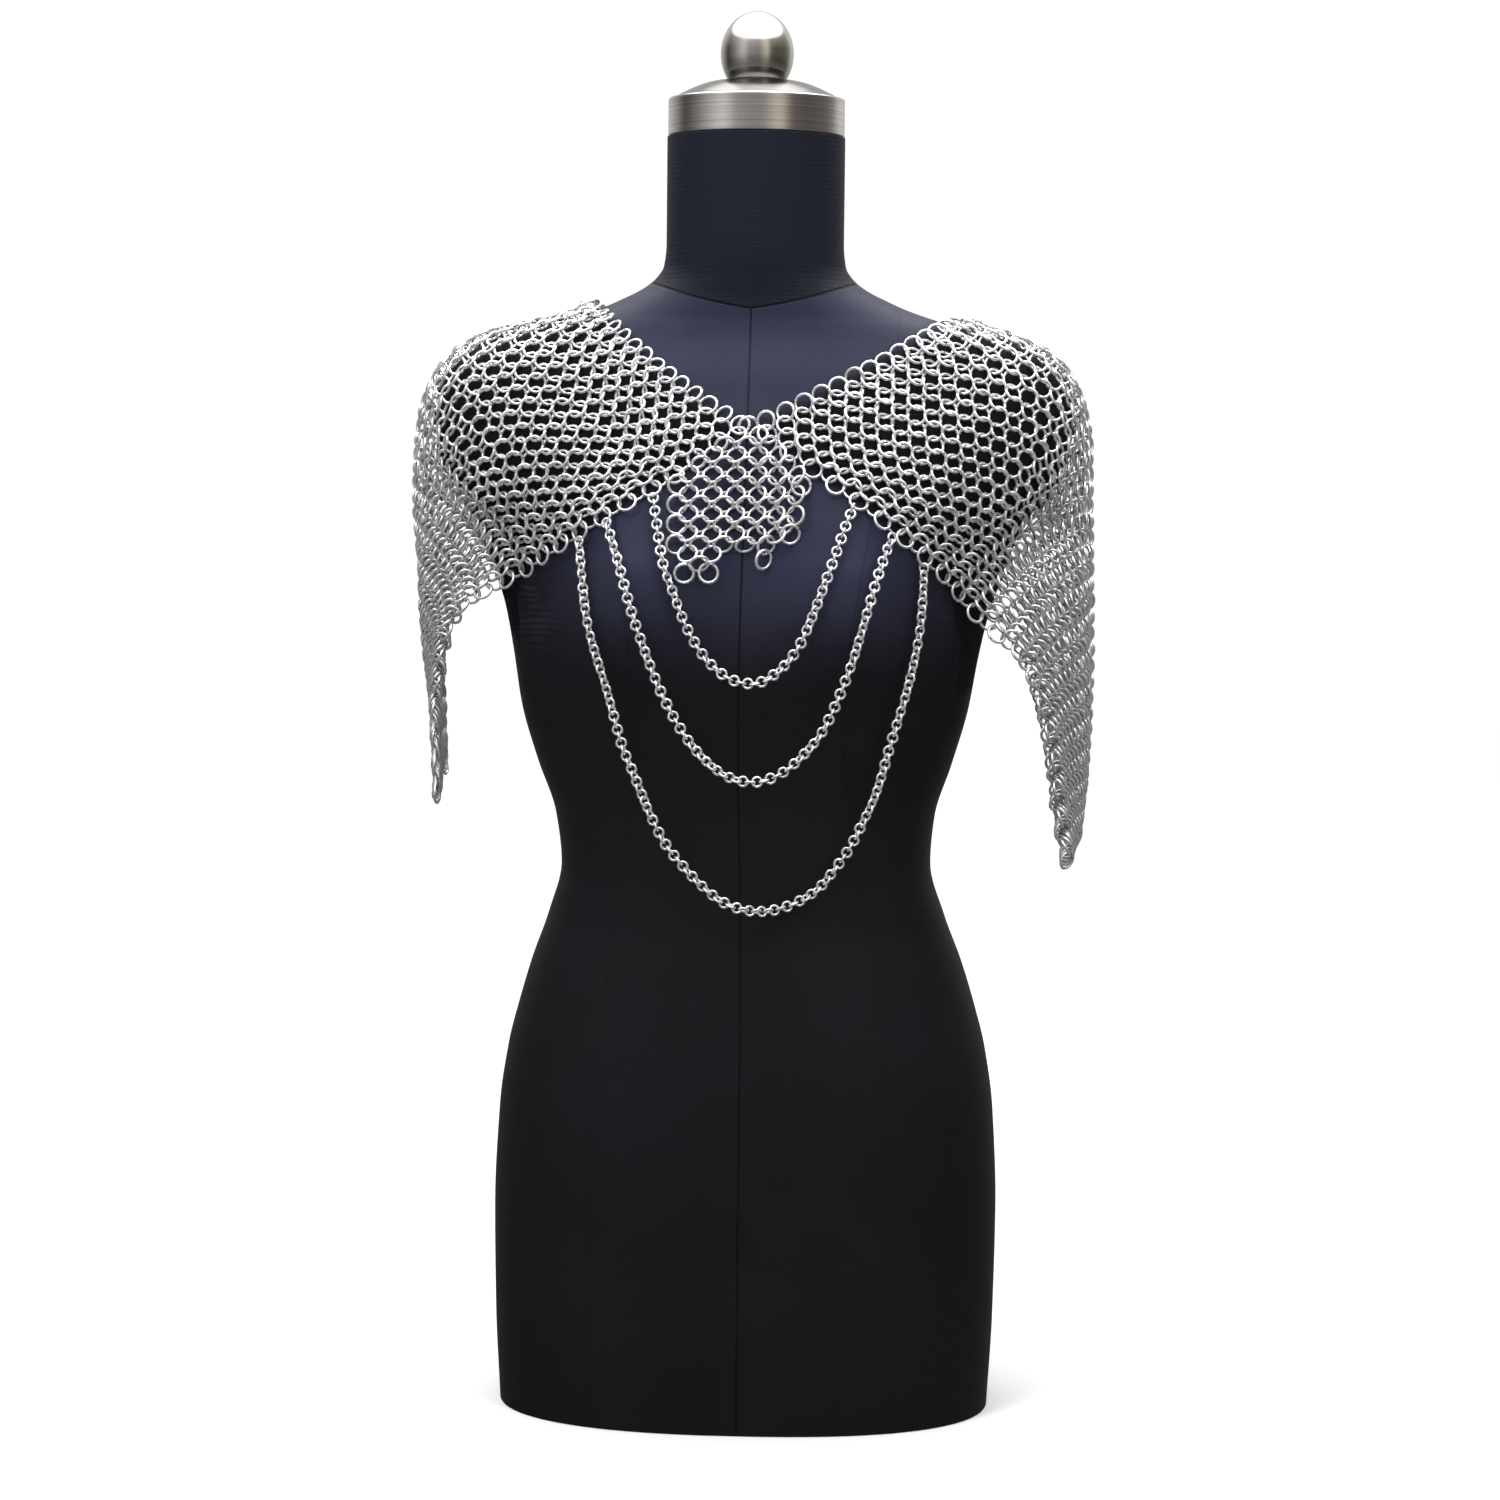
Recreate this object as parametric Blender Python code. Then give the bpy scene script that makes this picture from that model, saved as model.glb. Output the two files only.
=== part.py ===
"""Chainmail shoulder cape on its dress form, in metres, +Z up, front towards -Y.

The origin is the centre of the form's flat base. Left and right are -X and +X.
"""
from collections import namedtuple

import bpy
import numpy as np

# Driving dimensions in metres

FORM_SEGMENTS = 48
FORM_RING_STEP = 0.030
NECK_RADIUS = 0.057
NECK_TOP = 0.8200
BUST_HEIGHT = 0.519
BUST_SIDE = 0.074
BUST_RISE = 0.026
BUST_SPREAD_X = 0.040
BUST_SPREAD_UP = 0.062
BUST_SPREAD_DOWN = 0.034
LEAN = 0.0035
LEAN_HEIGHT = 0.450
LEAN_SPREAD = 0.120

SEAM_GAP = 0.0003
CAP_SEGMENTS = 36
CAP_BAND_RADIUS = 0.0565
CAP_BAND_TOP = 0.8445
CAP_EDGE_ROUND = 0.0012
CAP_DOME_TOP = 0.8560
CAP_DOME_RINGS = 6
CAP_SEAT_RADIUS = 0.0200
FINIAL_HALF_WIDTH = 0.0234
FINIAL_HALF_HEIGHT = 0.0270
FINIAL_TOP = 0.9000
FINIAL_RINGS = 11
FINIAL_POLE_ANGLE = 0.11

MAIL_CLEARANCE = 0.0008
MAIL_SPRING = 0.0012
MAIL_ALONG = 28
MAIL_ACROSS = 34
FLAP_ALONG = 12
FLAP_DOWN = 10
FLAP_GAP = 0.0012

CHAIN_DIAMETER = 0.0075
CHAIN_CLEARANCE = 0.0012
CHAIN_POINT_SPACING = 0.0165

# Angle between faces that shade as an edge, and how finely surfaces and routes are worked out
SHARP_ANGLE = 0.7
SLOPE_STEP = 0.0005
SETTLE_PASSES = 8
SETTLE_REACH = 0.008
DEPTH_STEP = 0.0005
NEAREST_DEPTH = 0.030
FARTHEST_DEPTH = 0.160
ROW_SAMPLES = 161
EDGE_SAMPLES = 60
ROUTE_SAMPLES = 24

# Cross-sections of the form: half width, depth in front of and behind the middle, squareness
FormSection = namedtuple("FormSection", "height half_width front back squareness")
FORM_SECTIONS = (
    FormSection(0.000, 0.1600, 0.101, 0.116, 2.4),
    FormSection(0.060, 0.1630, 0.104, 0.123, 2.4),
    FormSection(0.130, 0.1640, 0.105, 0.126, 2.4),
    FormSection(0.195, 0.1610, 0.103, 0.123, 2.4),
    FormSection(0.234, 0.1555, 0.100, 0.118, 2.35),
    FormSection(0.260, 0.1490, 0.097, 0.112, 2.3),
    FormSection(0.290, 0.1400, 0.093, 0.104, 2.25),
    FormSection(0.320, 0.1290, 0.089, 0.096, 2.2),
    FormSection(0.354, 0.1200, 0.087, 0.091, 2.2),
    FormSection(0.385, 0.1230, 0.088, 0.091, 2.2),
    FormSection(0.420, 0.1345, 0.092, 0.095, 2.2),
    FormSection(0.455, 0.1446, 0.097, 0.099, 2.2),
    FormSection(0.490, 0.1505, 0.100, 0.102, 2.2),
    FormSection(0.520, 0.1568, 0.101, 0.104, 2.2),
    FormSection(0.545, 0.1655, 0.100, 0.105, 2.2),
    FormSection(0.560, 0.1700, 0.098, 0.105, 2.2),
    FormSection(0.575, 0.1780, 0.096, 0.105, 2.2),
    FormSection(0.590, 0.1900, 0.093, 0.104, 2.2),
    FormSection(0.604, 0.1990, 0.089, 0.102, 2.2),
    FormSection(0.620, 0.2040, 0.085, 0.100, 2.2),
    FormSection(0.638, 0.2060, 0.079, 0.096, 2.2),
    FormSection(0.655, 0.2040, 0.072, 0.091, 2.2),
    FormSection(0.667, 0.1985, 0.067, 0.087, 2.2),
    FormSection(0.677, 0.1900, 0.062, 0.083, 2.2),
    FormSection(0.685, 0.1785, 0.058, 0.079, 2.2),
    FormSection(0.692, 0.1615, 0.055, 0.076, 2.2),
    FormSection(0.699, 0.1370, 0.053, 0.072, 2.2),
    FormSection(0.705, 0.1155, 0.052, 0.069, 2.15),
    FormSection(0.711, 0.0980, 0.052, 0.066, 2.1),
    FormSection(0.717, 0.0845, 0.052, 0.064, 2.05),
    FormSection(0.723, 0.0725, 0.053, 0.061, 2.0),
    FormSection(0.730, 0.0635, 0.054, 0.059, 2.0),
    FormSection(0.738, 0.0585, 0.0555, 0.0575, 2.0),
    FormSection(0.752, 0.0570, 0.0565, 0.057, 2.0),
    FormSection(NECK_TOP, NECK_RADIUS, NECK_RADIUS, NECK_RADIUS, 2.0),
)

# Stations of a mail panel across its rows, from the neckline out to the hem on the arm.
# edge is the front lower edge, ridge the line over the shoulder, tail the back lower edge.
# curl bends a row into an arch, lie is how closely it hugs the form, dip is how far the middle
# of its front half hangs below a straight line, and thick is the mail's thickness.
MailStation = namedtuple("MailStation", "across edge ridge tail curl lie dip thick")
LEFT_STATIONS = (
    MailStation(0.00, (-0.0004, -0.086, 0.6350), (-0.1070, 0.008, 0.7110),
                (-0.0004, 0.096, 0.640), 1.00, 1.00, 0.0045, 0.0052),
    MailStation(0.09, (-0.0262, -0.091, 0.6150), (-0.1390, 0.008, 0.7035),
                (-0.0270, 0.103, 0.620), 1.00, 1.00, 0.0030, 0.0052),
    MailStation(0.18, (-0.0520, -0.096, 0.5970), (-0.1700, 0.008, 0.6915),
                (-0.0540, 0.107, 0.601), 1.02, 0.70, 0.0015, 0.0052),
    MailStation(0.27, (-0.0790, -0.098, 0.5800), (-0.1975, 0.008, 0.6745),
                (-0.0810, 0.107, 0.584), 1.06, 0.35, 0.0000, 0.0054),
    MailStation(0.36, (-0.1050, -0.091, 0.5640), (-0.2145, 0.009, 0.6475),
                (-0.1070, 0.103, 0.568), 1.12, 0.25, 0.0000, 0.0058),
    MailStation(0.45, (-0.1275, -0.076, 0.5500), (-0.2180, 0.010, 0.6140),
                (-0.1310, 0.097, 0.554), 1.25, 0.15, 0.0000, 0.0062),
    MailStation(0.54, (-0.1518, -0.063, 0.5350), (-0.2175, 0.012, 0.5810),
                (-0.1640, 0.090, 0.545), 1.40, 0.00, 0.0000, 0.0066),
    MailStation(0.62, (-0.1767, -0.057, 0.5220), (-0.2155, 0.014, 0.5520),
                (-0.1960, 0.083, 0.532), 1.55, 0.00, 0.0000, 0.0070),
    MailStation(0.70, (-0.1897, -0.054, 0.4973), (-0.2125, 0.015, 0.5220),
                (-0.2110, 0.078, 0.508), 1.70, 0.00, 0.0000, 0.0072),
    MailStation(0.80, (-0.1928, -0.052, 0.4630), (-0.2095, 0.016, 0.4860),
                (-0.2150, 0.072, 0.472), 1.80, 0.00, 0.0000, 0.0072),
    MailStation(0.90, (-0.1930, -0.050, 0.4275), (-0.2055, 0.016, 0.4500),
                (-0.2140, 0.066, 0.435), 1.90, 0.00, 0.0000, 0.0072),
    MailStation(1.00, (-0.1940, -0.047, 0.3900), (-0.2030, 0.016, 0.4135),
                (-0.2130, 0.060, 0.398), 1.95, 0.00, 0.0000, 0.0072),
)
RIGHT_STATIONS = (
    MailStation(0.00, (0.0004, -0.086, 0.6350), (0.1285, 0.008, 0.6980),
                (0.0004, 0.096, 0.640), 1.00, 1.00, -0.0025, 0.0052),
    MailStation(0.09, (0.0279, -0.091, 0.6150), (0.1630, 0.008, 0.6935),
                (0.0290, 0.103, 0.619), 1.00, 1.00, -0.0015, 0.0052),
    MailStation(0.18, (0.0556, -0.097, 0.5965), (0.1920, 0.008, 0.6800),
                (0.0570, 0.107, 0.599), 1.02, 0.70, 0.0000, 0.0052),
    MailStation(0.27, (0.0823, -0.099, 0.5760), (0.2105, 0.008, 0.6550),
                (0.0840, 0.107, 0.580), 1.06, 0.35, 0.0000, 0.0054),
    MailStation(0.36, (0.1075, -0.090, 0.5558), (0.2170, 0.009, 0.6210),
                (0.1090, 0.103, 0.561), 1.12, 0.25, 0.0000, 0.0058),
    MailStation(0.45, (0.1290, -0.075, 0.5355), (0.2170, 0.010, 0.5850),
                (0.1310, 0.097, 0.542), 1.25, 0.15, 0.0000, 0.0062),
    MailStation(0.54, (0.1495, -0.066, 0.5110), (0.2170, 0.012, 0.5510),
                (0.1510, 0.090, 0.518), 1.40, 0.00, 0.0000, 0.0066),
    MailStation(0.62, (0.1724, -0.062, 0.4915), (0.2170, 0.014, 0.5210),
                (0.1720, 0.084, 0.496), 1.55, 0.00, 0.0000, 0.0070),
    MailStation(0.70, (0.1846, -0.059, 0.4644), (0.2170, 0.015, 0.4910),
                (0.1845, 0.079, 0.470), 1.70, 0.00, 0.0000, 0.0072),
    MailStation(0.80, (0.1930, -0.057, 0.4280), (0.2160, 0.016, 0.4530),
                (0.1920, 0.072, 0.434), 1.80, 0.00, 0.0000, 0.0072),
    MailStation(0.90, (0.1967, -0.054, 0.3907), (0.2150, 0.016, 0.4160),
                (0.1965, 0.065, 0.397), 1.90, 0.00, 0.0000, 0.0072),
    MailStation(1.00, (0.2070, -0.050, 0.3530), (0.2120, 0.016, 0.3780),
                (0.2030, 0.058, 0.360), 1.95, 0.00, 0.0000, 0.0072),
)
# How far a row on the form bows away from its straight chord, front and back
ROW_FULLNESS = 0.80
# How softly a row turns over the ridge, as a share of half a row
RIDGE_SOFTNESS = 0.28

# Depth of the soft gathers that the hanging mail shuts into, and how many run along a row
GATHER_DEPTH = 0.0030
GATHERS = 3.0
GATHER_FROM = 0.50

# Stations of the centre-front flap from left to right: side place, bottom height, lift off the skin
FlapStation = namedtuple("FlapStation", "side_top side_bottom bottom lift")
FLAP_STATIONS = (
    FlapStation(-0.0455, -0.0428, 0.5470, 0.0000),
    FlapStation(-0.0335, -0.0340, 0.5390, 0.0000),
    FlapStation(-0.0200, -0.0220, 0.5400, 0.0006),
    FlapStation(-0.0060, -0.0090, 0.5510, 0.0000),
    FlapStation(0.0080, 0.0050, 0.5540, 0.0012),
    FlapStation(0.0225, 0.0190, 0.5500, 0.0030),
    FlapStation(0.0385, 0.0350, 0.5720, 0.0000),
)
FLAP_THICKNESS = 0.0052

# Chain swags: where along each panel's front edge they hang and how far below it they start,
# and the route between as side place and height, left to right
Swag = namedtuple("Swag", "left_share left_drop right_share right_drop route")
SWAGS = {
    "chain_inner": Swag(0.1985, 0.0015, 0.2180, 0.0012, (
        (-0.0505, 0.5530), (-0.0454, 0.5387), (-0.0384, 0.5196), (-0.0327, 0.5074),
        (-0.0252, 0.4951), (-0.0165, 0.4860), (-0.0055, 0.4790), (0.0070, 0.4772),
        (0.0195, 0.4830), (0.0291, 0.4934), (0.0358, 0.5027), (0.0447, 0.5244),
        (0.0501, 0.5392), (0.0550, 0.5530), (0.0610, 0.5710))),
    "chain_middle": Swag(0.2915, 0.0005, 0.2980, 0.0008, (
        (-0.0765, 0.5480), (-0.0710, 0.5292), (-0.0640, 0.5071), (-0.0577, 0.4912),
        (-0.0520, 0.4758), (-0.0388, 0.4507), (-0.0300, 0.4384), (-0.0195, 0.4274),
        (-0.0085, 0.4200), (0.0050, 0.4166), (0.0185, 0.4190), (0.0312, 0.4270),
        (0.0427, 0.4394), (0.0520, 0.4525), (0.0644, 0.4823), (0.0709, 0.5027),
        (0.0773, 0.5255), (0.0840, 0.5490))),
    "chain_outer": Swag(0.3490, 0.0012, 0.3700, 0.0028, (
        (-0.1006, 0.5401), (-0.0982, 0.5203), (-0.0938, 0.5005), (-0.0840, 0.4696),
        (-0.0757, 0.4398), (-0.0685, 0.4220), (-0.0585, 0.3980), (-0.0497, 0.3796),
        (-0.0389, 0.3654), (-0.0301, 0.3558), (-0.0190, 0.3455), (-0.0050, 0.3372),
        (0.0115, 0.3338), (0.0256, 0.3352), (0.0375, 0.3407), (0.0480, 0.3480),
        (0.0582, 0.3606), (0.0668, 0.3733), (0.0734, 0.3865), (0.0831, 0.4085),
        (0.0925, 0.4422), (0.0996, 0.4659), (0.1062, 0.4940), (0.1094, 0.5160),
        (0.1105, 0.5350))),
}

# Finishes: colour, metallic, roughness
Finish = namedtuple("Finish", "colour metallic roughness")
FINISHES = {
    "leather": Finish((0.018, 0.019, 0.028), 0.0, 0.45),
    "steel": Finish((0.56, 0.53, 0.50), 1.0, 0.30),
    "polished_steel": Finish((0.72, 0.69, 0.66), 1.0, 0.08),
    "rings": Finish((0.80, 0.80, 0.81), 1.0, 0.28),
    "chain": Finish((0.84, 0.84, 0.85), 1.0, 0.25),
}


def clear_scene():
    """Remove every object that the file started with."""
    for old in list(bpy.data.objects):
        bpy.data.objects.remove(old, do_unlink=True)


def material(name):
    """A material of one named finish."""
    finish = FINISHES[name]
    made = bpy.data.materials.new(name)
    made.use_nodes = True
    shader = made.node_tree.nodes["Principled BSDF"]
    shader.inputs["Base Color"].default_value = (*finish.colour, 1.0)
    shader.inputs["Metallic"].default_value = finish.metallic
    shader.inputs["Roughness"].default_value = finish.roughness
    return made


def add_object(name, points, faces, finish):
    """Put a closed mesh into the scene under its own name."""
    mesh = bpy.data.meshes.new(name)
    mesh.from_pydata([tuple(point) for point in points], [], faces)
    mesh.validate()
    mesh.shade_smooth()
    mesh.set_sharp_from_angle(angle=SHARP_ANGLE)
    made = bpy.data.objects.new(name, mesh)
    made.data.materials.append(finish)
    bpy.context.scene.collection.objects.link(made)
    return made


def smooth_value(places, values, where):
    """Value at each place in where, on a smooth curve through the table (limited cubic)."""
    places = np.asarray(places, dtype=float)
    values = np.asarray(values, dtype=float)
    where = np.clip(where, places[0], places[-1])
    steps = np.diff(places)
    slopes = np.diff(values) / steps
    tangents = np.empty_like(values)
    tangents[0] = slopes[0]
    tangents[-1] = slopes[-1]
    before, after = slopes[:-1], slopes[1:]
    weight = steps[1:] + 2.0 * steps[:-1]
    other = 2.0 * steps[1:] + steps[:-1]
    same_way = before * after > 0.0
    safe_before = np.where(same_way, before, 1.0)
    safe_after = np.where(same_way, after, 1.0)
    mean = (weight + other) / (weight / safe_before + other / safe_after)
    tangents[1:-1] = np.where(same_way, mean, 0.0)
    index = np.clip(np.searchsorted(places, where, side="right") - 1, 0, len(steps) - 1)
    step = steps[index]
    t = (where - places[index]) / step
    return (values[index] * (1 + 2 * t) * (1 - t) ** 2
            + step * tangents[index] * t * (1 - t) ** 2
            + values[index + 1] * t * t * (3 - 2 * t)
            - step * tangents[index + 1] * t * t * (1 - t))


def form_section(height):
    """Half width, front depth, back depth and squareness of the form at each height."""
    heights = [row.height for row in FORM_SECTIONS]
    return [smooth_value(heights, [getattr(row, column) for row in FORM_SECTIONS], height)
            for column in ("half_width", "front", "back", "squareness")]


def form_middle(height):
    """Side place of the form's middle: the waist stands a little to the left of the neck."""
    return -LEAN * np.exp(-((height - LEAN_HEIGHT) / LEAN_SPREAD) ** 2)


def bust_depth(side, height):
    """How far the bust stands out past the plain section: two soft humps."""
    up = height - BUST_HEIGHT
    spread = np.where(up > 0.0, BUST_SPREAD_UP, BUST_SPREAD_DOWN)
    rise = np.exp(-(up / spread) ** 2)
    across = (np.abs(side) - BUST_SIDE) / BUST_SPREAD_X
    return BUST_RISE * rise * np.exp(-across ** 2)


def form_level(points):
    """One on the form's skin, less inside it and more outside it."""
    depth, height = points[..., 1], points[..., 2]
    side = points[..., 0] - form_middle(height)
    half_width, front, back, squareness = form_section(height)
    reach = np.where(depth < 0.0, front + bust_depth(side, height), back)
    total = np.abs(side / half_width) ** squareness + np.abs(depth / reach) ** squareness
    return np.maximum(total, 1e-12) ** (1.0 / squareness)


def form_distance(points):
    """Distance from the form's skin, positive outside, and the outward direction there."""
    slope = np.empty_like(points)
    for axis in range(3):
        shift = np.zeros(3)
        shift[axis] = SLOPE_STEP
        rise = form_level(points + shift) - form_level(points - shift)
        slope[..., axis] = rise / (2.0 * SLOPE_STEP)
    steepness = np.maximum(np.linalg.norm(slope, axis=-1, keepdims=True), 1e-6)
    distance = (form_level(points)[..., None] - 1.0) / steepness
    return distance[..., 0], slope / steepness


def settle_on_form(points, clear, lie):
    """Push points out of the form to the clear distance, and draw lie of the rest back to it."""
    settled = points.copy()
    for _ in range(SETTLE_PASSES):
        distance, outward = form_distance(settled)
        short = clear - distance
        move = np.where(short > 0.0, short, lie * short)
        settled += np.clip(move, -SETTLE_REACH, SETTLE_REACH)[..., None] * outward
    return settled


def depth_in_front(side, height, clear):
    """Depth at which a point in front of the form is the clear distance off its skin."""
    count = int(round((FARTHEST_DEPTH - NEAREST_DEPTH) / DEPTH_STEP)) + 1
    reach = np.linspace(-NEAREST_DEPTH, -FARTHEST_DEPTH, count)
    side, height, clear = np.broadcast_arrays(side, height, clear)
    line = np.empty(side.shape + (len(reach), 3))
    line[..., 0] = side[..., None]
    line[..., 1] = reach
    line[..., 2] = height[..., None]
    distance, _ = form_distance(line)
    beyond = np.argmax(distance >= clear[..., None], axis=-1)
    picked = np.take_along_axis(distance, np.stack([beyond - 1, beyond], axis=-1), axis=-1)
    share = (clear - picked[..., 0]) / (picked[..., 1] - picked[..., 0])
    return reach[beyond - 1] + share * (reach[1] - reach[0])


def build_form(finish):
    """The dress form: sections lofted from the flat base to the top of the neck."""
    table = [row.height for row in FORM_SECTIONS]
    heights = [table[0]]
    for low, high in zip(table[:-1], table[1:]):
        count = int(np.ceil((high - low) / FORM_RING_STEP))
        heights.extend(low + (high - low) * (i + 1) / count for i in range(count))
    heights = np.array(heights)[:, None]
    turn = (np.arange(FORM_SEGMENTS) * 2.0 * np.pi / FORM_SEGMENTS)[None, :]
    half_width, front, back, squareness = form_section(heights)
    cosine, sine = np.cos(turn), np.sin(turn)
    side = half_width * np.sign(cosine) * np.abs(cosine) ** (2.0 / squareness)
    reach = np.where(sine < 0.0, front + bust_depth(side, heights), back)
    depth = reach * np.sign(sine) * np.abs(sine) ** (2.0 / squareness)
    rings = np.stack([side + form_middle(heights), depth, heights + 0.0 * turn], axis=-1)
    count = len(heights)
    faces = [list(reversed(range(FORM_SEGMENTS)))]
    for ring in range(count - 1):
        for i in range(FORM_SEGMENTS):
            after = (i + 1) % FORM_SEGMENTS
            low, high = ring * FORM_SEGMENTS, (ring + 1) * FORM_SEGMENTS
            faces.append((low + i, low + after, high + after, high + i))
    faces.append([(count - 1) * FORM_SEGMENTS + i for i in range(FORM_SEGMENTS)])
    return add_object("form_body", rings.reshape(-1, 3), faces, finish)


def turned(name, profile, finish):
    """A solid turned about the upright axis from (radius, height) points, bottom to top."""
    turn = np.arange(CAP_SEGMENTS) * 2.0 * np.pi / CAP_SEGMENTS
    points = []
    for radius, height in profile:
        points.extend((radius * np.cos(a), radius * np.sin(a), height) for a in turn)
    faces = [list(reversed(range(CAP_SEGMENTS)))]
    for ring in range(len(profile) - 1):
        low, high = ring * CAP_SEGMENTS, (ring + 1) * CAP_SEGMENTS
        for i in range(CAP_SEGMENTS):
            after = (i + 1) % CAP_SEGMENTS
            faces.append((low + i, low + after, high + after, high + i))
    last = (len(profile) - 1) * CAP_SEGMENTS
    faces.append([last + i for i in range(CAP_SEGMENTS)])
    return add_object(name, points, faces, finish)


def build_cap(finish):
    """The steel band around the neck's top with its shallow dome."""
    bottom = NECK_TOP + SEAM_GAP
    profile = [(CAP_BAND_RADIUS - CAP_EDGE_ROUND, bottom),
               (CAP_BAND_RADIUS, bottom + CAP_EDGE_ROUND),
               (CAP_BAND_RADIUS, CAP_BAND_TOP - CAP_EDGE_ROUND),
               (CAP_BAND_RADIUS - CAP_EDGE_ROUND, CAP_BAND_TOP)]
    for i in range(1, CAP_DOME_RINGS + 1):
        share = i / CAP_DOME_RINGS
        radius = CAP_BAND_RADIUS - CAP_EDGE_ROUND
        radius -= (radius - CAP_SEAT_RADIUS) * share
        profile.append((radius, CAP_BAND_TOP + (CAP_DOME_TOP - CAP_BAND_TOP)
                        * np.sin(share * np.pi / 2.0)))
    return turned("form_cap", profile, finish)


def build_finial(finish):
    """The polished ball on top, a little taller than round and cut flat where it sits."""
    middle = FINIAL_TOP - FINIAL_HALF_HEIGHT
    low = (CAP_DOME_TOP + SEAM_GAP - middle) / FINIAL_HALF_HEIGHT
    angles = np.linspace(np.arcsin(low), np.pi / 2.0 - FINIAL_POLE_ANGLE, FINIAL_RINGS)
    profile = [(FINIAL_HALF_WIDTH * np.cos(a), middle + FINIAL_HALF_HEIGHT * np.sin(a))
               for a in angles]
    return turned("form_finial", profile, finish)


def panel_points(stations, along, across):
    """Middle surface of a mail panel at shares along its rows (0 front, 1 back) and across them."""
    places = [row.across for row in stations]

    def column(name, axis=None):
        values = [getattr(row, name) if axis is None else getattr(row, name)[axis]
                  for row in stations]
        return smooth_value(places, values, across)

    edge, ridge, tail = (np.stack([column(name, axis) for axis in range(3)], axis=-1)
                         for name in ("edge", "ridge", "tail"))
    curl, lie, dip, thick = (column(name) for name in ("curl", "lie", "dip", "thick"))
    reach = 2.0 * along - 1.0
    end = np.where(reach[..., None] < 0.0, edge, tail)
    bend = np.abs(reach)
    soft = np.sqrt(bend ** 2 + RIDGE_SOFTNESS ** 2) - RIDGE_SOFTNESS
    arch = (soft / (np.sqrt(1.0 + RIDGE_SOFTNESS ** 2) - RIDGE_SOFTNESS)) ** curl
    bow = bend + ROW_FULLNESS * lie * bend * (1.0 - bend)
    share = np.stack([arch, bow, arch], axis=-1)
    points = ridge + (end - ridge) * share
    points[..., 2] -= np.where(reach < 0.0, 4.0 * dip * bend * (1.0 - bend), 0.0)
    loose = np.clip((across - GATHER_FROM) / (1.0 - GATHER_FROM), 0.0, 1.0)
    outward = np.sign(ridge[..., 0])
    wave = np.sin(GATHERS * np.pi * reach) * np.sin(0.5 * np.pi * loose)
    points[..., 0] += outward * GATHER_DEPTH * wave
    lie = lie * (bend + (1.0 - bend) * lie ** 2)
    clear = 0.5 * thick + MAIL_CLEARANCE + MAIL_SPRING * (1.0 - lie)
    return settle_on_form(points, clear, lie), thick


def even_rows(stations, along_count, across_count):
    """Panel points spaced evenly along each row, with the mail's thickness at each."""
    fine = np.linspace(0.0, 1.0, ROW_SAMPLES)
    across = np.linspace(0.0, 1.0, across_count)
    along_grid, across_grid = np.meshgrid(fine, across)
    points, thick = panel_points(stations, along_grid, across_grid)
    steps = np.linalg.norm(np.diff(points, axis=1), axis=-1)
    length = np.concatenate([np.zeros((across_count, 1)), np.cumsum(steps, axis=1)], axis=1)
    share = length / length[:, -1:]
    wanted = np.linspace(0.0, 1.0, along_count)
    placed = np.stack([np.interp(wanted, share[row], fine) for row in range(across_count)])
    across_grid = np.broadcast_to(across[:, None], placed.shape)
    return panel_points(stations, placed, across_grid)


def grid_normals(points):
    """Unit normals of a grid of points from its two directions."""
    down = np.gradient(points, axis=0)
    right = np.gradient(points, axis=1)
    normal = np.cross(right, down)
    return normal / np.linalg.norm(normal, axis=-1, keepdims=True)


def wall_from_grid(name, points, thick, finish):
    """A closed wall of the given thickness about a grid of points."""
    rows, columns = points.shape[:2]
    normal = grid_normals(points)
    half = 0.5 * thick[..., None]
    both = np.concatenate([(points + half * normal).reshape(-1, 3),
                           (points - half * normal).reshape(-1, 3)])
    far = rows * columns
    faces = []
    for r in range(rows - 1):
        for c in range(columns - 1):
            a, b = r * columns + c, r * columns + c + 1
            d, e = a + columns, b + columns
            faces.append((a, d, e, b))
            faces.append((a + far, b + far, e + far, d + far))
    border = [c for c in range(columns)]
    border += [r * columns + columns - 1 for r in range(1, rows)]
    border += [(rows - 1) * columns + c for c in range(columns - 2, -1, -1)]
    border += [r * columns for r in range(rows - 2, 0, -1)]
    for a, b in zip(border, border[1:] + border[:1]):
        faces.append((a, b, b + far, a + far))
    made = add_object(name, both, faces, finish)
    if signed_volume(made.data) < 0.0:
        made.data.flip_normals()
    return made


def signed_volume(mesh):
    """Volume inside a closed mesh, negative where its faces point in."""
    mesh.calc_loop_triangles()
    places = np.empty(len(mesh.vertices) * 3)
    mesh.vertices.foreach_get("co", places)
    corners = np.empty(len(mesh.loop_triangles) * 3, dtype=np.int32)
    mesh.loop_triangles.foreach_get("vertices", corners)
    a, b, c = places.reshape(-1, 3)[corners.reshape(-1, 3)].transpose(1, 0, 2)
    return float(np.einsum("ij,ij->", a, np.cross(b, c)) / 6.0)


def build_panel(name, stations, finish):
    """One rectangle of mail laid over a shoulder, with its narrow end hanging down the arm."""
    points, thick = even_rows(stations, MAIL_ALONG, MAIL_ACROSS)
    return wall_from_grid(name, points, thick, finish)


def front_edge_height(side):
    """Height of the panels' front lower edge above each side place near the middle."""
    across = np.linspace(0.0, 0.3, EDGE_SAMPLES)
    first = np.zeros_like(across)
    left = panel_points(LEFT_STATIONS, first, across)[0]
    right = panel_points(RIGHT_STATIONS, first, across)[0]
    sides = np.concatenate([left[::-1, 0], right[:, 0]])
    heights = np.concatenate([left[::-1, 2], right[:, 2]])
    return np.interp(side, sides, heights)


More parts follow.
